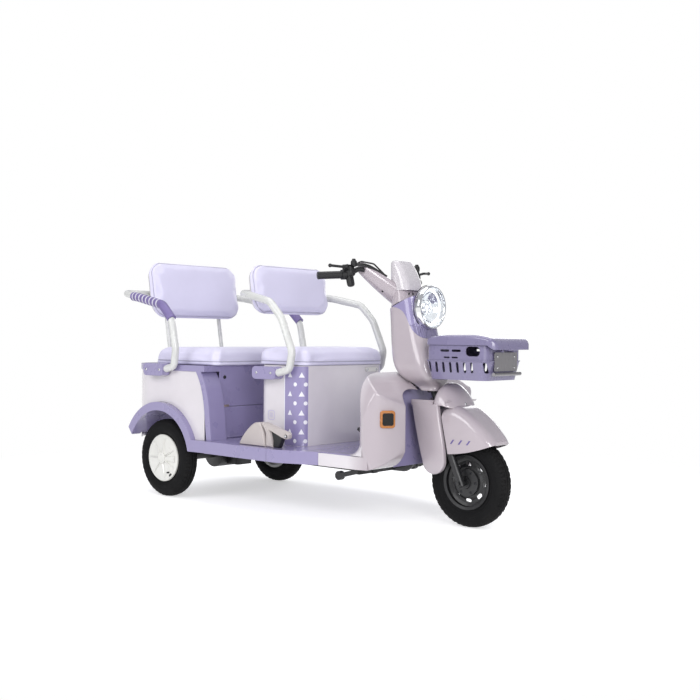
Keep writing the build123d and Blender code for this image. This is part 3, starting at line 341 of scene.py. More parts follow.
def grained_plastic(name, color, rough, grain=900):
    """Moulded plastic with a fine spark-eroded grain and slightly rubbed edges."""
    s = Surface(name, color, rough).soften(0.001)
    depth = 0.00025
    cloud, tone = s.clouds(color, (14, 4, 0.6), 0.93, 1.05)
    tone = s.mix(s.times(s.edges(), 0.3), tone, shade(color, 1.25))
    s.wear(tone, cloud, rough * 0.85, rough * 1.15)
    s.bump(s.cells(grain), depth, 0.5)
    s.bump(s.noise(grain * 0.4, 3, 0.6), depth, 0.35)
    return s.material


def vinyl(name, color, rough=0.42):
    """Soft upholstery vinyl: pebble grain with painted shade in its pits, fine creases and a slight sheen."""
    s = Surface(
        name, color, rough, sheen_weight=0.25, sheen_roughness=0.45, coat_weight=0.12, coat_roughness=0.35,
    )
    cloud, tone = s.clouds(color, (6, 3, 0.55), 0.965, 1.02)
    pores = s.cells(820)
    # The pits of the pebble grain are darkened a little: painted shade.
    tone = s.mix(s.span(pores, 0.0, 0.35, 0.22, 0.0), tone, shade(color, 0.72))
    s.wear(tone, cloud, rough * 0.85, rough * 1.2)
    s.bump(pores, 0.0004, 0.45)
    s.bump(s.cells(310, "SMOOTH_F1"), 0.0006, 0.25)
    s.bump(s.noise(24, 4, 0.55, distortion=0.6), 0.003, 0.14)
    return s.material


def painted_metal(name, color, rough, coat=0.5):
    """Powder-coated steel: fine orange peel, and edges worn a little thinner."""
    s = Surface(name, color, rough, coat_weight=coat, coat_roughness=0.12).soften(0.001)
    cloud, tone = s.clouds(color, (18, 4, 0.6), 0.94, 1.04)
    tone = s.mix(s.times(s.edges(0.54, 0.66), 0.25), tone, shade(color, 1.3))
    s.wear(tone, cloud, rough * 0.8, rough * 1.3)
    s.bump(s.noise(340, 2, 0.5), 0.0002, 0.4)
    return s.material


def rubber(name, color, rough):
    """Rubber with a fine mould texture and patches of pale dust."""
    s = Surface(name, color, rough)
    cloud, tone = s.clouds(color, (30, 5, 0.65), 0.8, 1.25)
    dust = s.span(s.noise(7, 4, 0.6), 0.45, 0.75, 0.0, 0.35)
    tone = s.mix(dust, tone, (0.075, 0.07, 0.065))
    s.wear(tone, cloud, rough * 0.85, min(1.0, rough * 1.15))
    s.bump(s.noise(900, 2, 0.6), 0.0003, 0.5)
    s.bump(s.noise(90, 3, 0.5), 0.0006, 0.25)
    return s.material


def tyre_rubber(name, centre):
    """Tyre rubber: zigzag cuts across the ribs, rings on the sidewall, road dust."""
    s = Surface(name, (0.01, 0.01, 0.011), 0.72, specular_ior_level=0.15)
    angle, radius, across = s.polar(centre)
    cloud = s.noise(30, 5, 0.65)
    dust = s.times(s.span(s.noise(9, 4, 0.6), 0.4, 0.75, 0.02, 0.25), s.span(radius, 0.150, 0.184))
    tone = s.blend(cloud, (0.0035, 0.0035, 0.004), (0.007, 0.007, 0.0075))
    s.wear(s.mix(dust, tone, (0.05, 0.047, 0.044)), cloud, 0.6, 0.85)
    zigzag = s.math("PINGPONG", s.times(across, 60.0), 0.35)
    count = 64
    cuts = s.math("FRACT", s.math("ADD", s.times(angle, count / (2 * pi)), zigzag))
    cut = s.times(s.band(cuts, 0.5, 0.14), s.span(radius, 0.168, 0.172))
    s.bump(s.less(1.0, cut), 0.003, 0.8)
    for ring in (0.123, 0.134, 0.150):
        s.bump(s.band(radius, ring, 0.0016), 0.0012, 0.7)
    ribs = s.math("SINE", s.times(angle, 220.0))
    s.bump(s.times(ribs, s.band(radius, 0.142, 0.006)), 0.0006, 0.5)
    s.bump(s.noise(700, 2, 0.6), 0.0003, 0.5)
    return s.material


def grip_sleeve(name):
    """Soft sleeve on the armrest tube: plain at the front, pale rings between ribs behind."""
    s = Surface(name, (0.17, 0.13, 0.31), 0.5)
    along = s.axis(0)
    pitch = 0.030
    wave = s.math("FRACT", s.times(along, 1 / pitch))
    behind = s.span(along, GRIP_PLAIN - 0.004, GRIP_PLAIN, 1.0, 0.0)
    ring = s.times(s.span(s.band(wave, 0.5, 0.5), 0.60, 0.72), behind)
    cloud = s.noise(30, 3, 0.5)
    tone = s.blend(cloud, (0.15, 0.115, 0.28), (0.19, 0.15, 0.34))
    s.wear(s.mix(ring, tone, (0.62, 0.60, 0.70)), cloud, 0.42, 0.6)
    s.bump(s.less(1.0, ring), 0.004, 0.9)
    s.bump(s.noise(700, 2, 0.5), 0.0003, 0.4)
    return s.material


def plated(name, color=(0.86, 0.87, 0.88), rough=0.07):
    """Chrome or polished metal with faint wipe marks."""
    s = Surface(name, color, rough, metallic=1.0)
    haze = s.noise(40, 4, 0.6, where=s.stretch(1, 6, 1))
    s.wear(s.blend(haze, shade(color, 0.95), color), haze, rough * 0.7, rough * 1.9)
    s.bump(s.noise(55, 2, 0.4), 0.0004, 0.06)
    return s.material


def clear(name, color, rough=0.03):
    """Clear or tinted moulded lens."""
    s = Surface(name, color, rough, transmission_weight=1.0, ior=1.5)
    s.vary_rough(s.noise(60, 3, 0.5), rough * 0.6, rough * 1.8)
    s.bump(s.noise(70, 2, 0.4), 0.0004, 0.08)
    return s.material


def lit(name):
    """Frosted light guide that glows white."""
    s = Surface(name, (0.95, 0.97, 1.0), 0.25, emission_strength=0.9)
    glow = s.blend(s.noise(160, 2, 0.5), (0.9, 0.94, 1.0), (1.0, 1.0, 1.0))
    s.put(s.shader.inputs["Emission Color"], glow)
    s.bump(s.noise(300, 2, 0.5), 0.0003, 0.3)
    return s.material


PALE = (0.67, 0.635, 0.665)
# The pale paint darkened for the front pieces, which face away from the key light: painted shade.
PALE_PAINTED_SHADE = (0.435, 0.382, 0.414)
PURPLE = (0.27, 0.238, 0.415)
LAVENDER = (0.66, 0.635, 0.80)



def materials():
    """Every look by name. Most are named after the record's slot that they show."""
    table = {
        gloss_panel: {
            # The front, hood and shield looks darken the pale paint on the front pieces: painted shade.
            "pale_gloss": (PALE,), "pale_front": (PALE_PAINTED_SHADE, 0.16), "pale_hood": (shade(PALE, 0.86), 0.16),
            "pale_shield": (PALE, 0.16, None, PALE_PAINTED_SHADE), "purple_gloss": (PURPLE, 0.3),
            "purple_tread": (PURPLE, 0.3, tread_relief), "purple_ribbed": (PURPLE, 0.24, ribbed_relief),
            "purple_basket": (shade(PURPLE, 0.67), 0.26), "white_plastic": ((0.74, 0.735, 0.69), 0.3),
            "band": ((0.27, 0.235, 0.43), 0.35),
        },
        vinyl: {"lavender_vinyl": (LAVENDER,), "welt": (shade(LAVENDER, 0.6), 0.5)},
        painted_metal: {
            "white_tube": ((0.62, 0.625, 0.605), 0.25), "black_steel": ((0.009, 0.009, 0.010), 0.42, 0.15),
        },
        grained_plastic: {
            "black_plastic": ((0.009, 0.009, 0.010), 0.5), "beige_plastic": ((0.47, 0.425, 0.41), 0.45),
            "amber": ((0.42, 0.16, 0.04), 0.25, 500), "battery": ((0.05, 0.05, 0.055), 0.5),
            "print_white": ((0.80, 0.79, 0.84), 0.4), "print_lilac": ((0.50, 0.46, 0.62), 0.4),
            "print_purple": ((0.12, 0.09, 0.26), 0.4),
        },
        rubber: {"cable": ((0.012, 0.012, 0.013), 0.5)},
        grip_sleeve: {"grip_purple": ()},
        plated: {
            "chrome": (), "plate": ((0.32, 0.31, 0.32), 0.38), "screw": ((0.62, 0.62, 0.63), 0.22),
            "dark_screw": ((0.05, 0.05, 0.055), 0.3), "brass": ((0.72, 0.60, 0.48), 0.3),
        },
        clear: {
            "lens": ((0.96, 0.98, 1.0),), "red_lamp": ((0.6, 0.02, 0.02), 0.08),
            "smoked": ((0.06, 0.05, 0.045), 0.06),
        },
        lit: {"lit": ()},
    }
    looks = {name: maker(name, *values) for maker, rows in table.items() for name, values in rows.items()}
    looks["pale"], looks["purple"] = looks["pale_gloss"], looks["purple_gloss"]
    return looks


# Nodes whose look is not the one their slot names. The pale front pieces and the hood take darkened copies of
# the pale paint: painted shade.
DRESSED = {
    "instrument_hood": "pale_hood", "handlebar_cover": "pale_front", "column_cover": "pale_front",
    "leg_shields": "pale_shield", "fork_covers": "pale_front", "front_fender": "pale_front",
    "footboard": "purple_tread", "headlight_panel": "purple_ribbed",
    "basket": "purple_basket", "basket_lid": "purple_basket",
}


def smooth(node):
    """Shade a CAD mesh's round faces smooth and keep its edges crisp."""
    mesh = node.data
    if "custom_normal" in mesh.attributes:
        mesh.attributes.remove(mesh.attributes["custom_normal"])
    shade_faces(mesh)
    weld = node.modifiers.new("weld", "WELD")
    weld.merge_threshold = WELD_GAP
    crisp(node, CAD_ANGLE).use_edge_sharp = False


def dress():
    """Give each CAD node its look and smooth its round faces."""
    for part in frame["record"]["subparts"]:
        name = part["node"]
        node = nodes[name]
        if name in TYRES:
            _, ahead, y = TYRES[name]
            worn[name] = tyre_rubber(name, spot(ahead, y, AXLE_UP))
        look = name if name in TYRES else DRESSED.get(name, part["material_slot"])
        node.data.materials.clear()
        node.data.materials.append(worn[look])
        smooth(node)
    hood = nodes["instrument_hood"]
    remesh = hood.modifiers.new("remesh", "REMESH")
    remesh.mode = "VOXEL"
    remesh.voxel_size = 0.0025
    remesh.use_smooth_shade = True
    ease = hood.modifiers.new("ease", "SMOOTH")
    ease.factor, ease.iterations = 0.5, 14
    bucket = nodes["headlight_bucket"].data
    bucket.materials.append(worn["purple"])
    rim = spot(1263, 0, 0).x
    for face in bucket.polygons:
        outward = (face.center - spot(0, 0, LAMP_UP)) * (LEFT + UP)
        behind = face.center.x < rim and (face.normal.dot(outward.normalized()) > 0.2 or face.normal.x < -0.5)
        face.material_index = 1 if behind else 0


# ---------------------------------------------------------------- small meshes
def shade_faces(mesh, soft=True):
    mesh.polygons.foreach_set("use_smooth", [soft] * len(mesh.polygons))


def crisp(obj, angle):
    """Keep the edges of a piece that are sharper than an angle sharp."""
    split = obj.modifiers.new("edges", "EDGE_SPLIT")
    split.split_angle = radians(angle)
    return split


def walls(rows, count, closed=False, flip=False):
    """Quads between neighbouring rings of points; closed joins the last ring to the first."""
    faces = []
    for i in range(rows if closed else rows - 1):
        j = (i + 1) % rows
        for k in range(count):
            m = (k + 1) % count
            a, b, c, d = i * count + k, i * count + m, j * count + m, j * count + k
            faces.append((a, d, c, b) if flip else (a, b, c, d))
    return faces


def caps(rows, count):
    """The two faces that close a stack of rings."""
    return [tuple(range(count))[::-1], tuple((rows - 1) * count + k for k in range(count))]


class Build:
    """Vertices and faces gathered for one piece."""

    def __init__(self):
        self.verts, self.faces = [], []

    def add(self, verts, faces):
        start = len(self.verts)
        self.verts += [Vector(v) for v in verts]
        self.faces += [tuple(start + i for i in face) for face in faces]

    def tube(self, path, radius, closed=False, sides=10):
        """Round tube along a path of points."""
        count = len(path)
        verts, across = [], None
        for i, point in enumerate(path):
            before = path[i - 1] if i or closed else point
            after = path[(i + 1) % count] if i + 1 < count or closed else point
            along = (after - before).normalized()
            if across is None:
                across = along.orthogonal().normalized()
            else:
                across = (across - along * across.dot(along)).normalized()
            up = along.cross(across)
            verts += [point + (across * cos(turn) + up * sin(turn)) * radius for turn in turns(sides)]
        self.add(verts, walls(count, sides, closed) + ([] if closed else caps(count, sides)))

    def turned(self, place, axis, profile, sides=24):
        """Solid of revolution from (distance along the axis, radius) pairs, closed at both ends."""
        axis = axis.normalized()
        across = axis.orthogonal().normalized()
        up = axis.cross(across)
        verts = [
            place + axis * along + (across * cos(turn) + up * sin(turn)) * radius
            for along, radius in profile for turn in turns(sides)
        ]
        self.add(verts, walls(len(profile), sides) + caps(len(profile), sides))

    def slab(self, outline, place, right, up, thickness, edge=0.0):
        """Flat plate with a given outline in a plane, with a small chamfer round its face."""
        normal = right.cross(up).normalized()
        count = len(outline)
        middle = sum((Vector(p) for p in outline), Vector((0, 0))) / count
        verts = []
        for grow, out in ((0, 0), (0, thickness - edge), (-edge, thickness)):
            for p in outline:
                q = Vector(p) - middle
                q = middle + q * (1 + grow / max(q.length, 1e-6))
                verts.append(place + right * q.x + up * q.y + normal * out)
        self.add(verts, walls(3, count) + caps(3, count))

    def bolt(self, place, axis, radius):
        """Button-head screw with a socket in its middle."""
        shape = ((0.25, 1), (0.5, 0.86), (0.62, 0.62), (0.62, 0.42), (0.25, 0.40))
        self.turned(place, axis, [(-0.001, radius), *((along * radius, r * radius) for along, r in shape)], 18)

    def pebble(self, place, right, up, size, square=4.0):
        """Rounded block: a superellipsoid of a given width, height and depth."""
        normal = right.cross(up).normalized()
        rings, sides = 14, 24

        def bent(value):
            return (abs(value) ** (2 / square)) * (1 if value >= 0 else -1)

        verts = []
        for i in range(rings + 1):
            tilt = -pi / 2 + pi * i / rings
            for turn in turns(sides):
                x = bent(cos(tilt)) * bent(cos(turn)) * size[0] / 2
                y = bent(cos(tilt)) * bent(sin(turn)) * size[1] / 2
                z = bent(sin(tilt)) * size[2] / 2
                verts.append(place + right * x + up * y + normal * z)
        self.add(verts, walls(rings + 1, sides))

    def finish(self, name, look, body="chassis", edges=35):
        """Make the piece, riding on a body. Edges over an angle stay sharp: none with None, all with 0."""
        mesh = bpy.data.meshes.new(name)
        mesh.from_pydata([tuple(v) for v in self.verts], [], self.faces)
        mesh.validate()
        shade_faces(mesh, edges != 0)
        mesh.materials.append(worn[look])
        obj = linked(name, mesh)
        if edges:
            crisp(obj, edges)
        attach(obj, body)
        return obj


def rounded(width, height, corner, steps=5):
    """Outline of a rounded rectangle, anticlockwise from its right side."""
    points = []
    for sx, sy, start in ((1, 1, 0), (-1, 1, 90), (-1, -1, 180), (1, -1, 270)):
        for k in range(steps + 1):
            turn = radians(start + 90 * k / steps)
            x = sx * (width / 2 - corner) + corner * cos(turn)
            y = sy * (height / 2 - corner) + corner * sin(turn)
            points.append((x, y))
    return points


class Skin:
    """The surface of some meshes, for setting fittings, marks and seams on it."""

    def __init__(self, *meshes):
        whole = Build()
        for mesh in meshes:
            whole.add([v.co for v in mesh.vertices], [tuple(p.vertices) for p in mesh.polygons])
        self.tree = BVHTree.FromPolygons(whole.verts, whole.faces)

    def hit(self, place, direction):
        """Where a line from a place meets the surface, and the surface's outward direction there."""
        direction = direction.normalized()
        at, normal, _, _ = self.tree.ray_cast(place, direction)
        if at is None:
            return None, None
        return at, normal if normal.dot(direction) < 0 else -normal


# ---------------------------------------------------------------- upholstery
def ring_points(half_x, half_y, corner, count):
    """Evenly spaced points round a rounded rectangle, with the outward direction at each."""
    outline = [Vector(p) for p in rounded(2 * half_x, 2 * half_y, corner, 12)]
    outline.append(outline[0])
    lengths = [0.0]
    for a, b in zip(outline, outline[1:]):
        lengths.append(lengths[-1] + (b - a).length)
    points, i = [], 0
    for k in range(count):
        want = lengths[-1] * k / count
        while lengths[i + 1] < want:
            i += 1
        part = (want - lengths[i]) / max(lengths[i + 1] - lengths[i], 1e-9)
        points.append(outline[i].lerp(outline[i + 1], part))
    outward = []
    for k in range(count):
        along = points[(k + 2) % count] - points[k - 2]
        outward.append(Vector((along.y, -along.x)).normalized())
    return points, outward


def rounded_block(size, corner, edge):
    """Closed block on z = 0 with round corners in plan and round edges above."""
    bm = bmesh.new()
    bmesh.ops.create_cube(bm, size=1)
    bmesh.ops.scale(bm, vec=size, verts=bm.verts)
    bmesh.ops.translate(bm, vec=(0, 0, size[2] / 2), verts=bm.verts)
    upright = [e for e in bm.edges if abs(e.verts[0].co.z - e.verts[1].co.z) > size[2] / 2]
    bmesh.ops.bevel(bm, geom=upright, offset=corner, segments=16, profile=0.5, affect="EDGES")
    bm.normal_update()
    rims = [e for e in bm.edges if len(e.link_faces) == 2 and any(f.normal.z > 0.9 for f in e.link_faces)
            and not all(f.normal.z > 0.9 for f in e.link_faces)]
    bmesh.ops.bevel(bm, geom=rims, offset=edge, segments=5, profile=0.5, affect="EDGES")
    return bm


def settle(obj):
    """Put an object's evaluated shape in place of its mesh and drop its modifiers."""
    graph = bpy.context.evaluated_depsgraph_get()
    mesh = bpy.data.meshes.new_from_object(obj.evaluated_get(graph))
    obj.modifiers.clear()
    obj.data = mesh


def inflate(obj, cap):
    """Swell the stuffed form with a cloth simulation, held along its base, by no more than a cap."""
    base, last_frame = 0.007, 20
    start = [v.co.copy() for v in obj.data.vertices]
    held = [v.index for v in obj.data.vertices if v.co.z < base]
    obj.vertex_groups.new(name="held").add(held, 1.0, "REPLACE")
    cloth = obj.modifiers.new("cloth", "CLOTH")
    settings = cloth.settings
    settings.quality = 4
    settings.mass = 0.25
    settings.tension_stiffness = settings.compression_stiffness = 22
    settings.shear_stiffness = 8
    settings.bending_stiffness = 1.2
    settings.use_pressure = True
    settings.uniform_pressure_force = 4.0
    settings.vertex_group_mass = "held"
    settings.effector_weights.gravity = 0
    cloth.collision_settings.use_collision = False
    cloth.collision_settings.use_self_collision = False
    cloth.point_cache.frame_start, cloth.point_cache.frame_end = 1, last_frame
    for step in range(1, last_frame + 1):
        scene.frame_set(step)
    graph = bpy.context.evaluated_depsgraph_get()
    swollen = [v.co.copy() for v in obj.evaluated_get(graph).data.vertices]
    obj.modifiers.remove(cloth)
    obj.vertex_groups.clear()
    scene.frame_set(1)
    for vertex, a, b in zip(obj.data.vertices, start, swollen):
        move = b - a
        if move.length > cap:
            move *= cap / move.length
        vertex.co = a + move
        vertex.co.z = max(vertex.co.z, 0.0)


def seam_path(mesh, size, corner, height):
    """Closed path round the side of a pad, a height above its base."""
    outside = 0.05
    points, outward = ring_points(size[0] / 2 + outside, size[1] / 2 + outside, corner + outside, 260)
    skin = Skin(mesh)
    path = []
    for p, out in zip(points, outward):
        at, _ = skin.hit(Vector((p.x, p.y, height)), Vector((-out.x, -out.y, 0)))
        if at is not None:
            path.append(at)
    for _ in range(4):
        path = [(path[k - 1] + path[k] * 2 + path[(k + 1) % len(path)]) / 4 for k in range(len(path))]
    return path


def upholster(name, body, node, size, corner, edge, place, seam_up, welt_radius, voxel, swell):
    """A stuffed pad: swollen form, a sewn valley with its welt round the side, put at its place."""
    bm = rounded_block((size[0], size[1], size[2] - swell * 0.6), corner, edge)
    mesh = bpy.data.meshes.new(name)
    bm.to_mesh(mesh)
    bm.free()
    obj = linked(name, mesh)
    remesh = obj.modifiers.new("remesh", "REMESH")
    remesh.mode = "VOXEL"
    remesh.voxel_size = voxel
    settle(obj)
    inflate(obj, swell)
    path = seam_path(obj.data, size, corner, seam_up)
    near = KDTree(len(path))
    for index, p in enumerate(path):
        near.insert(p, index)
    near.balance()
    bm = bmesh.new()
    bm.from_mesh(obj.data)
    axes = dict(use_axis_x=True, use_axis_y=True, use_axis_z=True)
    for _ in range(9):
        bmesh.ops.smooth_vert(bm, verts=bm.verts, factor=0.5, **axes)
    bm.normal_update()
    reach, depth = 0.011, 0.0032
    for vertex in bm.verts:
        _, _, away = near.find(vertex.co)
        if away < reach:
            vertex.co -= vertex.normal * depth * (1 - (away / reach) ** 2) ** 2
    bm.transform(place)
    bm.to_mesh(obj.data)
    bm.free()
    if len(obj.data.polygons) < 16000:
        finer = obj.modifiers.new("finer", "SUBSURF")
        finer.levels = finer.render_levels = 1
        settle(obj)
    shade_faces(obj.data)
    obj.data.materials.clear()
    obj.data.materials.append(worn["lavender_vinyl"])
    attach(obj, body)
    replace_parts(obj, node)
    sunk = 0.0022
    centre = sum(path, Vector()) / len(path)
    inset = [p - Vector((p.x - centre.x, p.y - centre.y, 0)).normalized() * sunk for p in path]
    welts = Build()
    welts.tube([place @ p for p in inset], welt_radius, True, 8)
    welts.finish(name + "_welts", "welt", body, None)


def seats():
    """The two bench cushions and the two backrest pads."""
    for name, body, ahead, up, length, width, corner, voxel in (
        ("rear_bench", "rear_seat", 101, 628.6, 0.466, 0.718, 0.045, 0.006),
        ("driver_bench", "driver_seat", 657, 638.6, 0.307, 0.542, 0.048, 0.0055),
    ):
        upholster(
            name, body, body + "_cushion", (length, width, 0.076), corner, 0.022,
            Matrix.Translation(spot(ahead, 0, up)), 0.018, 0.0022, voxel, 0.012,
        )
    for name, ahead, up, lean, width, height, corner in (
        ("rear_rest", -200, 856, 9.9, 0.570, 0.288, 0.078),
        ("driver_rest", 490, 872, 9.1, 0.490, 0.232, 0.068),
    ):
        c, s = cos(radians(lean)), sin(radians(lean))
        axes = Matrix(((-s, 0, c), (0, -1, 0), (c, 0, s))).to_4x4()
        middle = spot(ahead, 0, up) + Vector((-s, 0, c)) * height / 2 - Vector((c, 0, s)) * 0.040
        upholster(
            name, "chassis", "backrest_pads", (height, width, 0.041), corner, 0.013,
            Matrix.Translation(middle) @ axes, 0.020, 0.0013, 0.0055, 0.009,
        )


# ---------------------------------------------------------------- wheels
def spoke(turn):
    """The direction at an angle round a wheel's axle."""
    return Vector((cos(turn), 0, sin(turn)))


def tread():
    """Shoulder blocks round each tyre."""
    profile = ((19.5, 179.4), (26, 175.3), (31, 170.0), (34.2, 164.5))
    section = ((-1.5, 0.0), (1.7, 0.05), (1.7, 0.56), (-1.5, 0.61))
    count, skew, last = 44, 0.28, len(profile) - 1
    faces = [(4 * i + j, 4 * i + j + 1, 4 * i + j + 5, 4 * i + j + 4) for i in range(last) for j in range(3)]
    faces += [(0, 3, 2, 1), tuple(4 * last + j for j in range(4))]
    for name, (body, ahead, y) in TYRES.items():
        built = Build()
        for out in (-1, 1):
            for k in range(count):
                verts = []
                for i, (across, radius) in enumerate(profile):
                    middle = spot(ahead, y + across * out, AXLE_UP)
                    for lift, offset in section:
                        turn = 2 * pi * (k + offset + skew * i / last + 0.5 * (out > 0)) / count
                        verts.append(middle + spoke(turn) * (radius + lift) / 1000)
                built.add(verts, faces)
        built.finish(name + "_blocks", name, body)


def hubcaps():
    """Raised star, centre cap and valve on each rear hubcap; screws on the front hub."""
    for word, out in SIDES:
        centre, axis, body = spot(0, out * TRACK_HALF, AXLE_UP), LEFT * out, f"rear_wheel_{word}"
        star = Build()
        cap = [(0, 0.027), (0.005, 0.0265), (0.0065, 0.024), (0.0065, 0.018), (0.0045, 0.016)]
        star.turned(centre + axis * 0.042, axis, cap, 40)
        for turn in turns(7, 0.5):
            along = spoke(turn)
            across = axis.cross(along)
            ridge = []
            for r, half, high in ((0.026, 0.0035, 0.006), (0.060, 0.003, 0.0052), (0.094, 0.0025, 0.001)):
                base = centre + axis * 0.0408 + along * r
                ridge += [base + across * half, base + axis * high, base - across * half]
            star.add(ridge, [(0, 1, 4, 3), (1, 2, 5, 4), (3, 4, 7, 6), (4, 5, 8, 7), (0, 2, 1), (6, 7, 8)])
        star.finish(f"hubcap_star_{word}", "white_plastic", body, 0)
        valve = Build()
        along = spoke(radians(-52))
        valve.slab(
            [(-0.006, 0), (0.006, 0), (0.010, 0.026), (-0.010, 0.026)],
            centre + axis * 0.0385 + along * 0.074, axis.cross(along) * out, along, 0.0012,
        )
        stem = [(0, 0.0042), (0.010, 0.004), (0.014, 0.003)]
        valve.turned(centre + axis * 0.038 + along * 0.082, axis, stem, 14)
        valve.finish(f"valve_{word}", "black_plastic", body, 0)
    screws = Build()
    for out in (-1, 1):
        axis = LEFT * out
        for turn in turns(6):
            screws.bolt(spot(WHEELBASE, 0, AXLE_UP) + axis * 0.0305 + spoke(turn) * 0.045, axis, 0.0055)
    screws.finish("front_hub_screws", "dark_screw", "front_wheel")


# ---------------------------------------------------------------- marks and fittings
def box_band():
    """Purple band with a plain pattern down both front corners of the driver's seat box."""
    band_rear, corner_rear, corner = 693, 750, 50
    low, high = 291, 636
    mark_ahead, mark_up = 611, 417
    for word, side in SIDES:
        def place(run, z, lift):
            """Point a distance along the box from the band's rear edge, standing proud by a lift."""
            flat = corner_rear - band_rear
            if run <= flat:
                return spot(band_rear + run, side * (BOX_HALF + lift), z)
            turn, r = (run - flat) / corner, corner + lift
            return spot(corner_rear + r * sin(turn), side * (BOX_HALF - corner + r * cos(turn)), z)

        def lay(built, verts, faces):
            """Add faces drawn as seen from the right, turned over on the left."""
            built.add(verts, faces if side < 0 else [face[::-1] for face in faces])

        def sheet(built, run0, run1, lift, columns):
            runs = [run0 + (run1 - run0) * k / columns for k in range(columns + 1)]
            n = columns + 1
            verts = [place(run, z, lift) for z in (low, high) for run in runs]
            lay(built, verts, [(k, k + 1, n + k + 1, n + k) for k in range(columns)])

        def motif(built, run, z, outline):
            """Flat figure in rings, fine enough to follow the round corner."""
            fine, rings, lift = [], 4, 0.8
            for (xa, ya), (xb, yb) in zip(outline, outline[1:] + outline[:1]):
                pieces = max(1, round(abs(xb - xa) / 4))
                fine += [(xa + (xb - xa) * k / pieces, ya + (yb - ya) * k / pieces) for k in range(pieces)]
            n = len(fine)
            verts = [place(run, z, lift)]
            for ring in range(1, rings + 1):
                verts += [place(run + x * ring / rings, z + y * ring / rings, lift) for x, y in fine]
            faces = [(0, 1 + k, 1 + (k + 1) % n) for k in range(n)]
            faces += [tuple(1 + i for i in face) for face in walls(rings, n, flip=True)]
            lay(built, verts, faces)

        def flat_mark(built, points, faces):
            y = side * (BOX_HALF + 0.5)
            lay(built, [spot(mark_ahead + x, y, mark_up + z) for x, z in points], faces)

        band = Build()
        sheet(band, 2, 124, 0.4, 14)
        band.finish(f"band_{word}", "band", edges=None)
        lines = Build()
        sheet(lines, -2, 2, 0.5, 1)
        triangle = [(-13, -11), (13, -11), (0, 12)]
        disc = [(9 * cos(turn), 9 * sin(turn)) for turn in turns(20)]
        for row in range(8):
            for run in ((34, 94) if row % 2 else (64, 112)):
                motif(lines, run, 312 + 41 * row, triangle if row % 2 else disc)
        lines.finish(f"band_pattern_{word}", "print_white", edges=None)
        badge = Build()
        outer, inner = rounded(44, 44, 12), rounded(36, 36, 9)
        flat_mark(badge, outer + inner, walls(2, len(outer)))
        for x in (-8, 0, 8):
            flat_mark(badge, [(x - 2, -11), (x + 2, -11), (x + 2, 11), (x - 2, 11)], [(0, 1, 2, 3)])
        badge.finish(f"box_mark_{word}", "print_lilac", edges=None)


def fender_marks():
    """Three plain slanted bars on each side of the front fender, laid on its surface."""
    skin = Skin(nodes["front_fender"].data)
    built = Build()
    bar = ((0, 0), (-0.011, -0.009), (-0.003, -0.009), (0.011, 0.009), (0.003, 0.009))
    fan = [(0, 1 + k, 1 + (k + 1) % 4) for k in range(4)]
    for right, up in (RIGHT_VIEW, LEFT_VIEW):
        normal = right.cross(up)
        for ahead in (1462, 1500, 1538):
            start = spot(ahead, 0, 350) + normal * 0.15
            hits = [skin.hit(start + right * x + up * z, -normal) for x, z in bar]
            if all(at is not None for at, _ in hits):
                built.add([at + out * 0.0005 for at, out in hits], fan)
    built.finish("fender_marks", "print_purple", "steering", 0)


def fittings():
    """Body screws, box latch, door plates, seat stops and reflector faces."""
    latch = Build()
    latch.slab(rounded(0.085, 0.020, 0.009), spot(800.2, 180, 616), *FRONT_VIEW, 0.005, 0.001)
    latch.finish("box_latch", "white_plastic")
    screws = Build()
    for y in (148, 212):
        screws.bolt(spot(805, y, 616), AHEAD, 0.0065)
    for y in (-60, 60):
        for z in (650, 695):
            screws.bolt(spot(1654, y, z), AHEAD, 0.004)
    for _, side in SIDES:
        for ahead, y, z in ((-70, 446.3, 604), (30, 446.3, 604), (565, 325.3, 605), (655, 325.3, 605)):
            screws.bolt(spot(ahead, side * y, z), LEFT * side, 0.006)
    screws.finish("body_screws", "screw")
    plates = Build()
    for y in (-280, 280):
        plates.slab(rounded(0.058, 0.010, 0.003), spot(300.3, y, 441), *FRONT_VIEW, 0.0025, 0.0008)
    plates.finish("door_plates", "brass")
    stops = Build()
    buffer = [(0, 0.008), (0.003, 0.008), (0.006, 0.006), (0.006, 0.003)]
    for y in (-279, -89, 89, 279):
        stops.turned(spot(299.8, y, 574), AHEAD, buffer, 20)
    stops.finish("seat_stops", "black_plastic")
    for word, side in SIDES:
        normal = Vector((0.83, side * 0.55, 0)).normalized()
        centre = spot(1291, side * 290, 440) + normal * 0.0062
        face = Build()
        face.slab(rounded(0.046, 0.050, 0.008), centre, UP.cross(normal), UP, 0.0012, 0.0006)
        face.finish(f"reflector_face_{word}", "smoked")


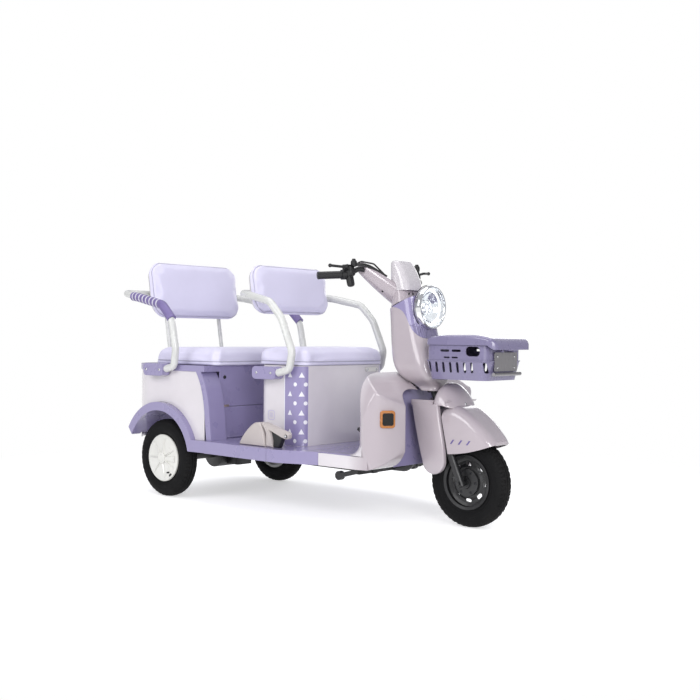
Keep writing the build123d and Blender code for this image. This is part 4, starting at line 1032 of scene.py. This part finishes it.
def cowl():
    """Rounded cowl over the crown of the fork, with the fork covers cut level under it."""
    bm = bmesh.new()
    bm.from_mesh(nodes["fork_covers"].data)
    bmesh.ops.remove_doubles(bm, verts=bm.verts, dist=WELD_GAP)
    geometry = bm.verts[:] + bm.edges[:] + bm.faces[:]
    level = spot(0, 0, 512.5)
    cut = bmesh.ops.bisect_plane(bm, geom=geometry, plane_co=level, plane_no=UP, clear_outer=True)
    bmesh.ops.contextual_create(bm, geom=[e for e in cut["geom_cut"] if isinstance(e, bmesh.types.BMEdge)])
    mesh = bpy.data.meshes.new("fork_cover_shells")
    bm.to_mesh(mesh)
    bm.free()
    shade_faces(mesh)
    mesh.materials.clear()
    mesh.materials.append(worn["pale_front"])
    shells = linked("fork_cover_shells", mesh)
    crisp(shells, CAD_ANGLE)
    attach(shells, "steering")
    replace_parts(shells, "fork_covers")

    outline = [
        (1350, 492), (1352, 520), (1358, 548), (1370, 571), (1386, 583), (1402, 581), (1420, 569),
        (1438, 549), (1453, 523), (1464, 497), (1470, 478), (1462, 474), (1450, 488), (1400, 492),
    ]
    base, half, foot, columns = 492, 101, 1400, 40
    verts = []
    for k in range(columns + 1):
        across = -cos(pi * k / columns)
        swell = max(1 - abs(across) ** 2.3, 0.0004) ** 0.5
        stretch = 0.35 + 0.65 * swell
        for ahead, up in outline:
            verts.append(spot(foot + (ahead - foot) * stretch, across * half, base + (up - base) * swell))
    n = len(outline)
    built = Build()
    built.add(verts, walls(columns + 1, n, flip=True) + [face[::-1] for face in caps(columns + 1, n)])
    dome = built.finish("crown_cowl", "pale_front", "steering", None)
    finer = dome.modifiers.new("finer", "SUBSURF")
    finer.levels = finer.render_levels = 1
    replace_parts(dome, "fork_covers")
    bolt = Build()
    bolt.bolt(spot(1462, 0, 497), Vector((0.9, 0, 0.44)), 0.007)
    bolt.finish("cowl_bolt", "screw", "steering")


def coves():
    """Hollow curve where each sill sweeps up into its leg shield."""
    radius, steps = 55, 10
    rows = ((351.6, 1208.5), (345, 1199.5), (336, 1186.5), (326, 1177.5))
    built = Build()
    for _, side in SIDES:
        verts = []
        for y, corner in rows:
            section = [(corner, SILL_UP - 1), (corner - radius, SILL_UP - 1)]
            for k in range(steps + 1):
                turn = pi / 2 * k / steps
                section.append((corner - radius + radius * sin(turn), SILL_UP + radius - radius * cos(turn)))
            verts += [spot(ahead, side * y, z) for ahead, z in section]
        built.add(verts, walls(len(rows), steps + 3) + caps(len(rows), steps + 3))
    built.finish("sill_coves", "pale", edges=50)


def hand_brake():
    """Parking brake: fan-shaped cover, its front plate, the lever with its boss, and what is inside."""
    def plate(built, outline, near, thickness, edge):
        """Upright plate from an outline in millimetres, its inner face a distance right of the middle."""
        metres = [(x / 1000, z / 1000) for x, z in outline]
        built.slab(metres, spot(526, -near, 290.4), *RIGHT_VIEW, thickness, edge)

    cover = Build()
    plate(cover, [
        (0, 0), (164, 0), (160, 34), (150, 68), (134, 96), (118, 103), (98, 100), (72, 86), (44, 62),
        (20, 34), (6, 12),
    ], 353.5, 0.038, 0.006)
    plate(cover, [
        (172, 0), (208, 0), (204, 26), (196, 56), (182, 82), (166, 98), (150, 104), (140, 102),
        (156, 84), (166, 56), (171, 28),
    ], 355, 0.034, 0.006)
    plate(cover, [
        (160, 80), (190, 72), (262, 47), (290, 40), (300, 46), (302, 60), (294, 68), (176, 100),
        (158, 103), (146, 94),
    ], 362, 0.026, 0.005)
    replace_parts(cover.finish("brake_shell", "beige_plastic", edges=40), "parking_brake")
    dark = Build()
    plate(dark, [(204, 0), (238, 0), (250, 22), (262, 48), (196, 66), (206, 30)], 358, 0.022, 0.003)
    dark.turned(spot(816, -386, 344), -LEFT, [(0, 0.008), (0.0035, 0.008), (0.0045, 0.006)], 20)
    dark.finish("brake_innards", "black_plastic")
    boss = Build()
    boss.bolt(spot(816, -390, 344), -LEFT, 0.0055)
    boss.finish("brake_screw", "screw")


def lamp():
    """Inside of the headlight: a halo, seals, the light module and its lights."""
    def around(ahead, radius, turn):
        """A point round the lamp's axis."""
        return spot(ahead, radius * cos(turn), LAMP_UP + radius * sin(turn))

    halo = Build()
    halo.tube([around(1270, 71, turn) for turn in turns(96)], 0.0045, True, 10)
    halo.finish("lamp_halo", "lit", edges=None)
    seals = Build()
    for ahead, radius, thick in ((1281, 86.5, 1.6), (1262, 91.8, 1.4), (1274, 90.2, 1.0)):
        seals.tube([around(ahead, radius, turn) for turn in turns(96)], thick / 1000, True, 8)
    seals.finish("lamp_seals", "black_plastic", edges=None)
    module = Build()
    rim = [(0, 0.036), (0.022, 0.036), (0.025, 0.033), (0.025, 0.030), (0.020, 0.028)]
    module.turned(around(1234, 0, 0), AHEAD, rim, 48)
    lens = [(0, 0.008), (0.006, 0.0078), (0.0085, 0.005), (0.0092, 0.002)]
    for turn in turns(6):
        module.turned(around(1252, 17, turn), AHEAD, lens, 18)
    module.finish("lamp_module", "chrome")
    lights = Build()
    for turn in turns(6, 0.5):
        lights.turned(around(1256, 21, turn), AHEAD, [(0, 0.0045), (0.003, 0.004), (0.0042, 0.0015)], 14)
    lights.turned(around(1256, 0, 0), AHEAD, [(0, 0.009), (0.004, 0.0085), (0.0065, 0.004)], 24)
    lights.finish("lamp_lights", "lit", edges=None)


def steering_details():
    """Switch pods, control cables, the slots of the handlebar cover as dark plates of painted shade, and its
    screws.
    """
    tilted = Vector((1, 0, 0.25)).normalized(), Vector((-0.25, 0, 1)).normalized()
    pods, runs, screws = Build(), Build(), Build()
    cover, hood = nodes["handlebar_cover"].data, nodes["instrument_hood"].data
    shell = Skin(cover)
    for _, side in SIDES:
        def place(ahead, y, z):
            return spot(ahead, side * y, z)

        pods.pebble(place(1024, 222, 1002), *tilted, (0.026, 0.052, 0.030))
        pods.pebble(place(1020, 222, 1040), *tilted, (0.046, 0.046, 0.040), 3.0)
        pods.pebble(place(1036, 214, 1074), *RIGHT_VIEW, (0.024, 0.030, 0.024), 3.0)
        pods.turned(place(1036, 214, 1086), UP, [(0, 0.008), (0.006, 0.008), (0.008, 0.006)], 18)
        nub = [(0, 0.006), (0.004, 0.0055), (0.0055, 0.003)]
        pods.turned(place(1018, 208, 1003), LEFT * -side, nub, 16)
        screws.bolt(place(1018, 236, 1069), UP, 0.005)
        screws.bolt(place(1004, 218, 1069), UP, 0.004)
        for shift in (0, 9):
            path = [place(1036, 212, 1066), place(1046, 200, 1082)]
            for k in range(9):
                share = k / 8
                at, _ = shell.hit(place(1052 - shift + 52 * share, 184 - 106 * share, 1250), -UP)
                if at is not None:
                    path.append(at + UP * 0.0045)
            for _ in range(2):
                eased = [(a + b * 2 + c) / 4 for a, b, c in zip(path, path[1:], path[2:])]
                path = [path[0], *eased, path[-1]]
            runs.tube(path, 0.0038)
    pods.finish("switch_pods", "black_plastic", "steering", None)
    runs.finish("control_cables", "cable", "steering", None)
    shell = Skin(cover, hood)
    # The two front slots are thin dark plates laid on the cover: painted shade in place of openings.
    dark = Build()
    for y in (-34, -8):
        at, _ = shell.hit(spot(1400, y, 949), -AHEAD)
        if at is not None:
            dark.slab(rounded(0.008, 0.016, 0.003), at + AHEAD * 0.0002, *FRONT_VIEW, 0.0008)
    for _, side in SIDES:
        at, normal = shell.hit(spot(1090, side * 300, 961), LEFT * -side)
        if at is not None:
            dark.turned(at, normal, [(-0.002, 0.005), (0.0006, 0.005), (0.0008, 0.003)], 16)
    dark.finish("cover_slots", "black_plastic", "steering")
    screws.finish("steering_screws", "screw", "steering")


camera()
stage()
worn = materials()
dress()
seats()
tread()
hubcaps()
box_band()
fender_marks()
fittings()
cowl()
coves()
hand_brake()
lamp()
steering_details()
